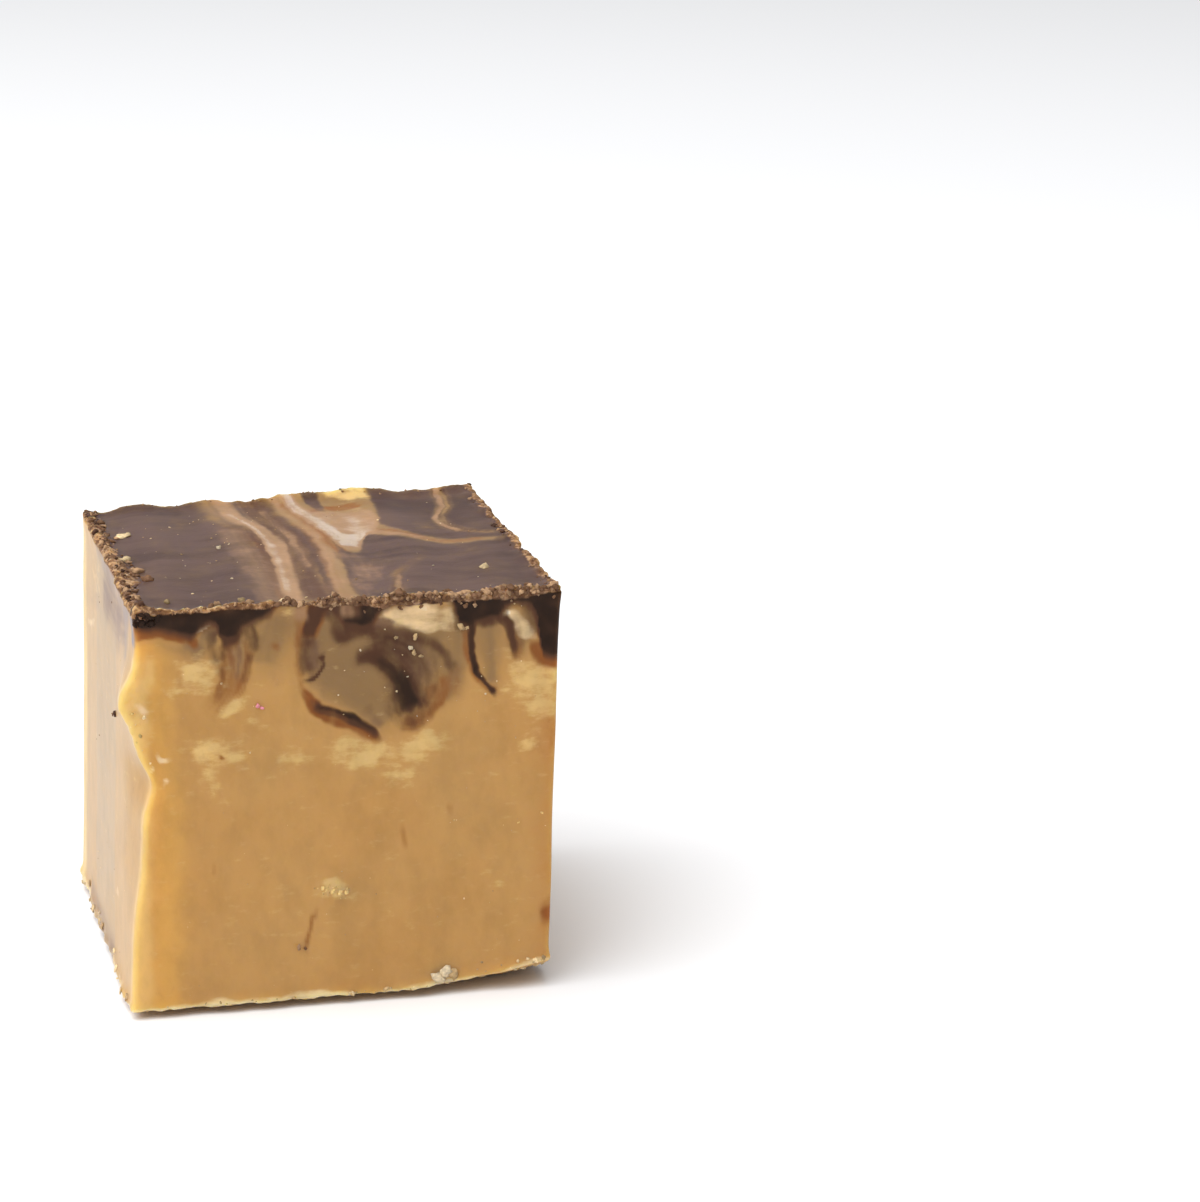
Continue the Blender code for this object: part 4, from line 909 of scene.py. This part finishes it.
# The crumbs
# Bits of chocolate and fudge that the knife broke off. They lie along the top edges, loose
# on the top and the front, and stuck to the burr round the foot. Each is a lumpy little
# ball, dropped onto the cube from the side that it lies on.

PINK = (0.80, 0.30, 0.36, 1.0)
OLIVE = (0.27, 0.19, 0.095, 1.0)
CHIP = (0.47, 0.32, 0.16, 1.0)
PALE_CHIP = (0.60, 0.49, 0.33, 1.0)
# For each side: the way that its crumbs fly in, and a start well outside the cube.
SIDES = {
    "top": (Vector((0, 0, -1)), lambda u, v: (u, v, 40)),
    "front": (Vector((0, 1, 0)), lambda u, v: (u, -15, v)),
    "left": (Vector((1, 0, 0)), lambda u, v: (-15, u, v)),
    "right": (Vector((-1, 0, 0)), lambda u, v: (45, u, v)),
    "back": (Vector((0, -1, 0)), lambda u, v: (u, 45, v)),
}
# Crumbs that stand out: the side, the place on it, the radius, the flatness and the colour.
LARGE_CRUMBS = (
    ("top", 2.7, 2.4, 0.20, 1.0, OLIVE),
    ("top", 5.6, 1.5, 0.28, 0.9, CRUMB_TAN),
    ("top", 5.2, 1.1, 0.22, 0.9, CRUMB_BROWN),
    ("top", 7.1, 1.5, 0.26, 1.0, OLIVE),
    ("top", 7.5, 1.0, 0.18, 1.0, CRUMB_TAN),
    ("top", 2.1, 19.8, 0.42, 0.35, CREAM),
    ("top", 2.5, 20.3, 0.26, 0.40, CREAM),
    ("top", 1.7, 19.4, 0.22, 0.50, CRUMB_TAN),
    ("top", 7.7, 15.35, 0.17, 0.8, PALE_CHIP),
    ("top", 1.5, 13.4, 0.34, 0.7, CREAM),
    ("top", 1.9, 10.4, 0.36, 0.7, CRUMB_TAN),
    ("top", 2.3, 8.2, 0.42, 0.6, CRUMB_BROWN),
    ("top", 12.6, 0.5, 0.34, 0.8, CRUMB_TAN),
    ("top", 16.4, 0.5, 0.32, 0.8, CRUMB_TAN),
    ("top", 9.5, 0.6, 0.30, 0.7, CREAM),
    ("top", 19.6, 0.7, 0.30, 0.8, CRUMB_BROWN),
    ("top", 23.0, 6.4, 0.30, 0.7, CREAM),
    ("front", 16.2, 23.2, 0.15, 0.5, CHIP),
    ("front", 17.4, 23.2, 0.20, 0.5, CHIP),
    ("front", 17.3, 22.2, 0.22, 0.5, CHIP),
    ("front", 17.7, 21.95, 0.14, 0.5, CHIP),
    ("front", 17.1, 22.5, 0.13, 0.8, PALE_CHIP),
    ("front", 20.25, 23.6, 0.20, 0.4, CHIP),
    ("front", 20.6, 23.55, 0.12, 0.4, CHIP),
    ("front", 7.7, 19.5, 0.19, 0.6, PINK),
    ("front", 7.95, 19.35, 0.09, 0.8, PINK),
    ("front", 19.0, 1.5, 0.42, 0.4, PALE_CHIP),
    ("front", 18.5, 1.25, 0.34, 0.4, PALE_CHIP),
    ("front", 19.5, 1.35, 0.28, 0.4, CHIP),
    ("front", 9.9, 3.9, 0.16, 0.7, CRUMB_TAN),
    ("front", 10.3, 3.8, 0.12, 0.7, CRUMB_BROWN),
    ("left", 9.25, 16.85, 0.20, 0.6, CRUMB_DARK),
    ("left", 10.6, 16.4, 0.13, 0.6, CRUMB_BROWN),
)


CUBE_TREE = BVHTree.FromPolygons(
    [vert.co[:] for vert in fudge_cube.data.vertices],
    [face.vertices[:] for face in fudge_cube.data.polygons],
)

crumb_finish = bpy.data.materials.new("crumbs")
crumb_finish.use_nodes = True
crumb_nodes, crumb_link = crumb_finish.node_tree.nodes, crumb_finish.node_tree.links.new
crumb_shader = crumb_nodes["Principled BSDF"]
own_tint = crumb_nodes.new("ShaderNodeAttribute")
own_tint.attribute_name = "tint"
speckle = crumb_nodes.new("ShaderNodeTexNoise")
speckle.inputs["Scale"].default_value = 5000
crumb_place = crumb_nodes.new("ShaderNodeTexCoord")
crumb_link(crumb_place.outputs["Object"], speckle.inputs["Vector"])
brightness = moved_span(crumb_finish.node_tree, speckle.outputs["Fac"], (0.35, 0.65), (0.75, 1.15))
shaded = crumb_nodes.new("ShaderNodeHueSaturation")
crumb_link(brightness.outputs["Result"], shaded.inputs["Value"])
crumb_link(own_tint.outputs["Color"], shaded.inputs["Color"])
crumb_link(shaded.outputs["Color"], crumb_shader.inputs["Base Color"])
crumb_shader.inputs["Roughness"].default_value = 0.6
crumb_shader.inputs["IOR"].default_value = 1.25
crumb_shader.inputs["Subsurface Weight"].default_value = 0.1
crumb_shader.inputs["Subsurface Radius"].default_value = (1.0, 0.8, 0.4)
crumb_shader.inputs["Subsurface Scale"].default_value = 0.2 * MM

# How lumpy a crumb is, how unlike each other two crumbs are in shape and shade, and how
# far each stands out of the surface, as a share of its own thickness.
LUMPINESS = 0.85
LENGTHS = (0.7, 1.4)
WIDTHS = (0.6, 1.1)
SHADES = (0.75, 1.25)
STANDING_OUT = 0.25


def landed(side, u, v):
    """Where a crumb that comes straight at a side of the cube touches it, and the way out."""
    heading, start = SIDES[side]
    outside = Vector(in_row(np.array(start(u, v), dtype=float)).tolist())
    place, normal, _, _ = CUBE_TREE.ray_cast(outside, heading)
    return place, normal


def crumb_piece(name, crumbs, seed):
    """One mesh of lumpy balls: each crumb is a side, a place, a radius, a flatness, a colour."""
    ball = bmesh.new()
    bmesh.ops.create_icosphere(ball, subdivisions=2, radius=1.0)
    corners = np.array([vert.co[:] for vert in ball.verts])
    faces = np.array([[vert.index for vert in face.verts] for face in ball.faces])
    ball.free()
    chance = random.Random(seed)
    verts, rings, tints = [], [], []
    for side, u, v, radius, flatness, colour in crumbs:
        place, normal = landed(side, u, v)
        if place is None:
            continue
        lumps = 1 + LUMPINESS * rumple(corners + chance.uniform(0, 90), 0.8)
        shape = corners * lumps[:, None] * (radius * MM)
        shape *= (chance.uniform(*LENGTHS), chance.uniform(*WIDTHS), flatness)
        spin = Matrix.Rotation(chance.uniform(0, 6.3), 3, "Z")
        turn = normal.to_track_quat("Z", "Y").to_matrix() @ spin
        middle = place + normal * (STANDING_OUT * radius * flatness * MM)
        rings.append(faces + len(verts) * len(corners))
        verts.append(shape @ np.array(turn).T + np.array(middle))
        shade = chance.uniform(*SHADES)
        tint = [min(1.0, part * shade) for part in colour[:3]] + [1.0]
        tints.append(np.tile(tint, (len(corners), 1)))
    data = bpy.data.meshes.new(name)
    data.from_pydata(np.concatenate(verts).tolist(), [], np.concatenate(rings).tolist())
    tinted = data.attributes.new("tint", "FLOAT_COLOR", "POINT")
    tinted.data.foreach_set("color", np.concatenate(tints).astype(np.float32).ravel())
    data.shade_smooth()
    data.materials.append(crumb_finish)
    piece = bpy.data.objects.new(name, data)
    bpy.context.scene.collection.objects.link(piece)
    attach(piece, "root")
    return piece


dice = random.Random(11)
BROKEN_COLOURS = (CRUMB_DARK, CRUMB_BROWN, CRUMB_BROWN, CRUMB_BROWN, CRUMB_TAN, CRUMB_TAN)
RIM_COLOURS = (CRUMB_BROWN, CRUMB_BROWN, CRUMB_TAN, CRUMB_TAN)
PALE_COLOURS = (CREAM, PALE_CHIP, CHIP)
UNEVEN = (0.5, 0.9)


def small_radius(low, high):
    """A crumb's radius: mostly near the low end."""
    return low + (high - low) * dice.random() ** 3


def one_crumb(side, u, v, radii, flatness, colours):
    """A crumb at a place, of a chance radius and colour, and of a set or a chance flatness."""
    radius = small_radius(*radii)
    flat = dice.uniform(*flatness) if flatness is UNEVEN else flatness
    return (side, u, v, radius, flat, dice.choice(colours))


def strewn(count, side, across, up, radii, flatness, colours):
    """Crumbs dropped evenly over a rectangle of one side."""
    for _ in range(count):
        u, v = dice.uniform(*across), dice.uniform(*up)
        yield one_crumb(side, u, v, radii, flatness, colours)


broken = []
# Along the left edge, where the rim is widest.
for _ in range(300):
    along = dice.uniform(0.3, DEPTH)
    inward = 0.45 + float(np.interp(along, *zip(*LEFT_RIM))) * dice.random() ** 1.2
    broken.append(one_crumb("top", inward, along, (0.05, 0.22), UNEVEN, BROKEN_COLOURS))
# Along the front edge: few on the left, and many to the right of the swirls.
for _ in range(50):
    across, inward = dice.uniform(1.5, 9.5), 0.02 + 0.35 * dice.random() ** 2
    broken.append(one_crumb("top", across, inward, (0.05, 0.16), 0.5, RIM_COLOURS))
for _ in range(240):
    across = 9.0 + 17.2 * dice.random() ** 0.8
    inward = 0.02 + 0.45 * dice.random() ** 2
    broken.append(one_crumb("top", across, inward, (0.06, 0.28), UNEVEN, RIM_COLOURS))
# Just below the front edge, and dark ones at the front left corner.
for _ in range(80):
    across = dice.uniform(10.5, 26.0)
    drop = (0.1 + 0.7 * dice.random() ** 2.2) * float(ramp(across, 9.0, 15.0))
    place = (across, HEIGHT + 0.25 - drop)
    broken.append(one_crumb("front", *place, (0.08, 0.22), 0.5, RIM_COLOURS))
for _ in range(40):
    place = (dice.uniform(0.3, 1.8), dice.uniform(24.9, 25.7))
    broken.append(("front", *place, small_radius(0.06, 0.22), 0.6, DARK))
# Along the right and the back edge.
for _ in range(60):
    place = (26.3 - 0.6 * dice.random() ** 2, dice.uniform(0.3, DEPTH))
    broken.append(one_crumb("top", *place, (0.05, 0.20), 0.6, BROKEN_COLOURS))
for _ in range(24):
    place = (dice.uniform(0.5, 26.2), DEPTH - 0.2 - 0.8 * dice.random() ** 2)
    broken.append(one_crumb("top", *place, (0.04, 0.13), 0.6, BROKEN_COLOURS))
broken.extend(crumb for crumb in LARGE_CRUMBS if crumb[0] == "top")
rim_piece = crumb_piece("rim_crumbs", broken, 21)

specks = []
# Loose on the top, then all over the front and more among its swirls.
specks.extend(strewn(70, "top", (2.0, 12.5), (1.0, 25.0), (0.025, 0.08), 0.5, PALE_COLOURS))
darker = (CREAM, PALE_CHIP, CRUMB_TAN)
specks.extend(strewn(30, "top", (12.5, 25.0), (1.0, 25.0), (0.025, 0.08), 0.5, darker))
yellow = (CREAM, CHIP, HONEY)
specks.extend(strewn(60, "front", (1.0, 25.5), (1.0, 22.0), (0.025, 0.07), 0.4, yellow))
specks.extend(strewn(24, "front", (9.0, 25.5), (17.0, 25.0), (0.03, 0.09), 0.5, PALE_COLOURS))
# On the dragged lip.
for _ in range(12):
    place = (dice.gauss(0.6, 0.3), dice.gauss(18.6, 1.8))
    specks.append(one_crumb("front", *place, (0.04, 0.11), 0.6, (CREAM, HONEY)))
mixed_colours = (CREAM, CHIP, CRUMB_BROWN)
for side in ("left", "right", "back"):
    specks.extend(strewn(30, side, (1.0, 25.5), (1.0, 24.0), (0.025, 0.08), 0.4, mixed_colours))
# In the patch that was pressed into the front.
for _ in range(30):
    turn, reach = dice.uniform(0, 2 * math.pi), dice.random() ** 0.6
    across, up = 1.35 * reach * math.cos(turn), 0.50 * reach * math.sin(turn)
    place = (CRUMB_PATCH[0] + across, CRUMB_PATCH[1] + up - 0.2 * across)
    specks.append(one_crumb("front", *place, (0.05, 0.16), 0.6, (PALE_CARAMEL, HONEY)))
# Along the foot, most of them at the front right corner.
for _ in range(50):
    place = (dice.uniform(0.3, 25.8), 0.5 + 0.3 * dice.random())
    specks.append(one_crumb("front", *place, (0.05, 0.16), 0.5, (CHIP, CREAM)))
specks.extend(strewn(26, "front", (21.0, 25.9), (0.9, 2.0), (0.05, 0.18), 0.5, (CHIP, CREAM)))
for side in ("left", "right", "back"):
    for _ in range(16):
        place = (dice.uniform(0.5, 26.5), 0.55 + 0.8 * dice.random() ** 2)
        radius = dice.uniform(0.10, 0.28)
        specks.append((side, *place, radius, 0.4, dice.choice((FROST, CREAM))))
specks.extend(crumb for crumb in LARGE_CRUMBS if crumb[0] != "top")
pale_piece = crumb_piece("fudge_crumbs", specks, 22)

# The stage
# A white floor and soft light from the left and above, as in a small white photo tent,
# and a camera where the photographer stood: a little to the left, looking down.

FLOOR_SIDE = 4.0
WHITE_CARD = (0.92, 0.925, 0.94, 1.0)
LAMP_PLACE = Vector((-0.32, -0.15, 0.70))
LAMP_TARGET = Vector((0, 0, 0.012))
LAMP_SIDE = 1.0
LAMP_WATTS = 10.0
TENT_GLOW = 0.42
BACKDROP_GLOW = 1.0
PHOTO_LONG_SIDE = 1202
FOCAL_PIXELS = 4000
SENSOR = 36.0
CAMERA_PLACE = Vector((-39.1, -242.9, 88.1)) * MM
CAMERA_YAW = math.radians(13.507)
CAMERA_PITCH = math.radians(15.046)

floor_mesh = bmesh.new()
bmesh.ops.create_grid(floor_mesh, x_segments=1, y_segments=1, size=FLOOR_SIDE / 2)
floor_data = bpy.data.meshes.new("white_floor")
floor_mesh.to_mesh(floor_data)
floor_mesh.free()
white_floor = bpy.data.objects.new("white_floor", floor_data)
bpy.context.scene.collection.objects.link(white_floor)
paint = bpy.data.materials.new("white card")
paint.use_nodes = True
paint_shader = paint.node_tree.nodes["Principled BSDF"]
paint_shader.inputs["Base Color"].default_value = WHITE_CARD
paint_shader.inputs["Roughness"].default_value = 1.0
paint_shader.inputs["Specular IOR Level"].default_value = 0.0
floor_data.materials.append(paint)

lamp = bpy.data.lights.new("overhead sheet", "AREA")
lamp.shape = "SQUARE"
lamp.size = LAMP_SIDE
lamp.energy = LAMP_WATTS
holder = bpy.data.objects.new("overhead sheet", lamp)
holder.location = LAMP_PLACE
holder.rotation_euler = (LAMP_TARGET - LAMP_PLACE).to_track_quat("-Z", "Y").to_euler()
bpy.context.scene.collection.objects.link(holder)

world = bpy.data.worlds.new("white tent")
world.use_nodes = True
bpy.context.scene.world = world
sky = world.node_tree.nodes["Background"]
sky.inputs["Color"].default_value = (1.0, 1.0, 1.0, 1.0)
sky.inputs["Strength"].default_value = TENT_GLOW
backdrop = world.node_tree.nodes.new("ShaderNodeBackground")
backdrop.inputs["Strength"].default_value = BACKDROP_GLOW
seen = world.node_tree.nodes.new("ShaderNodeLightPath")
either = world.node_tree.nodes.new("ShaderNodeMixShader")
world.node_tree.links.new(seen.outputs["Is Camera Ray"], either.inputs["Fac"])
world.node_tree.links.new(sky.outputs[0], either.inputs[1])
world.node_tree.links.new(backdrop.outputs[0], either.inputs[2])
world.node_tree.links.new(either.outputs[0], world.node_tree.nodes["World Output"].inputs["Surface"])

lens = bpy.data.cameras.new("camera")
lens.lens = FOCAL_PIXELS * SENSOR / PHOTO_LONG_SIDE
lens.sensor_width = SENSOR
lens.sensor_fit = "AUTO"
lens.clip_start = 0.01
camera = bpy.data.objects.new("camera", lens)
camera.location = CAMERA_PLACE
camera.rotation_euler = (math.pi / 2 - CAMERA_PITCH, 0.0, -CAMERA_YAW)
bpy.context.scene.collection.objects.link(camera)
bpy.context.scene.camera = camera
bpy.context.scene.view_settings.view_transform = "Standard"
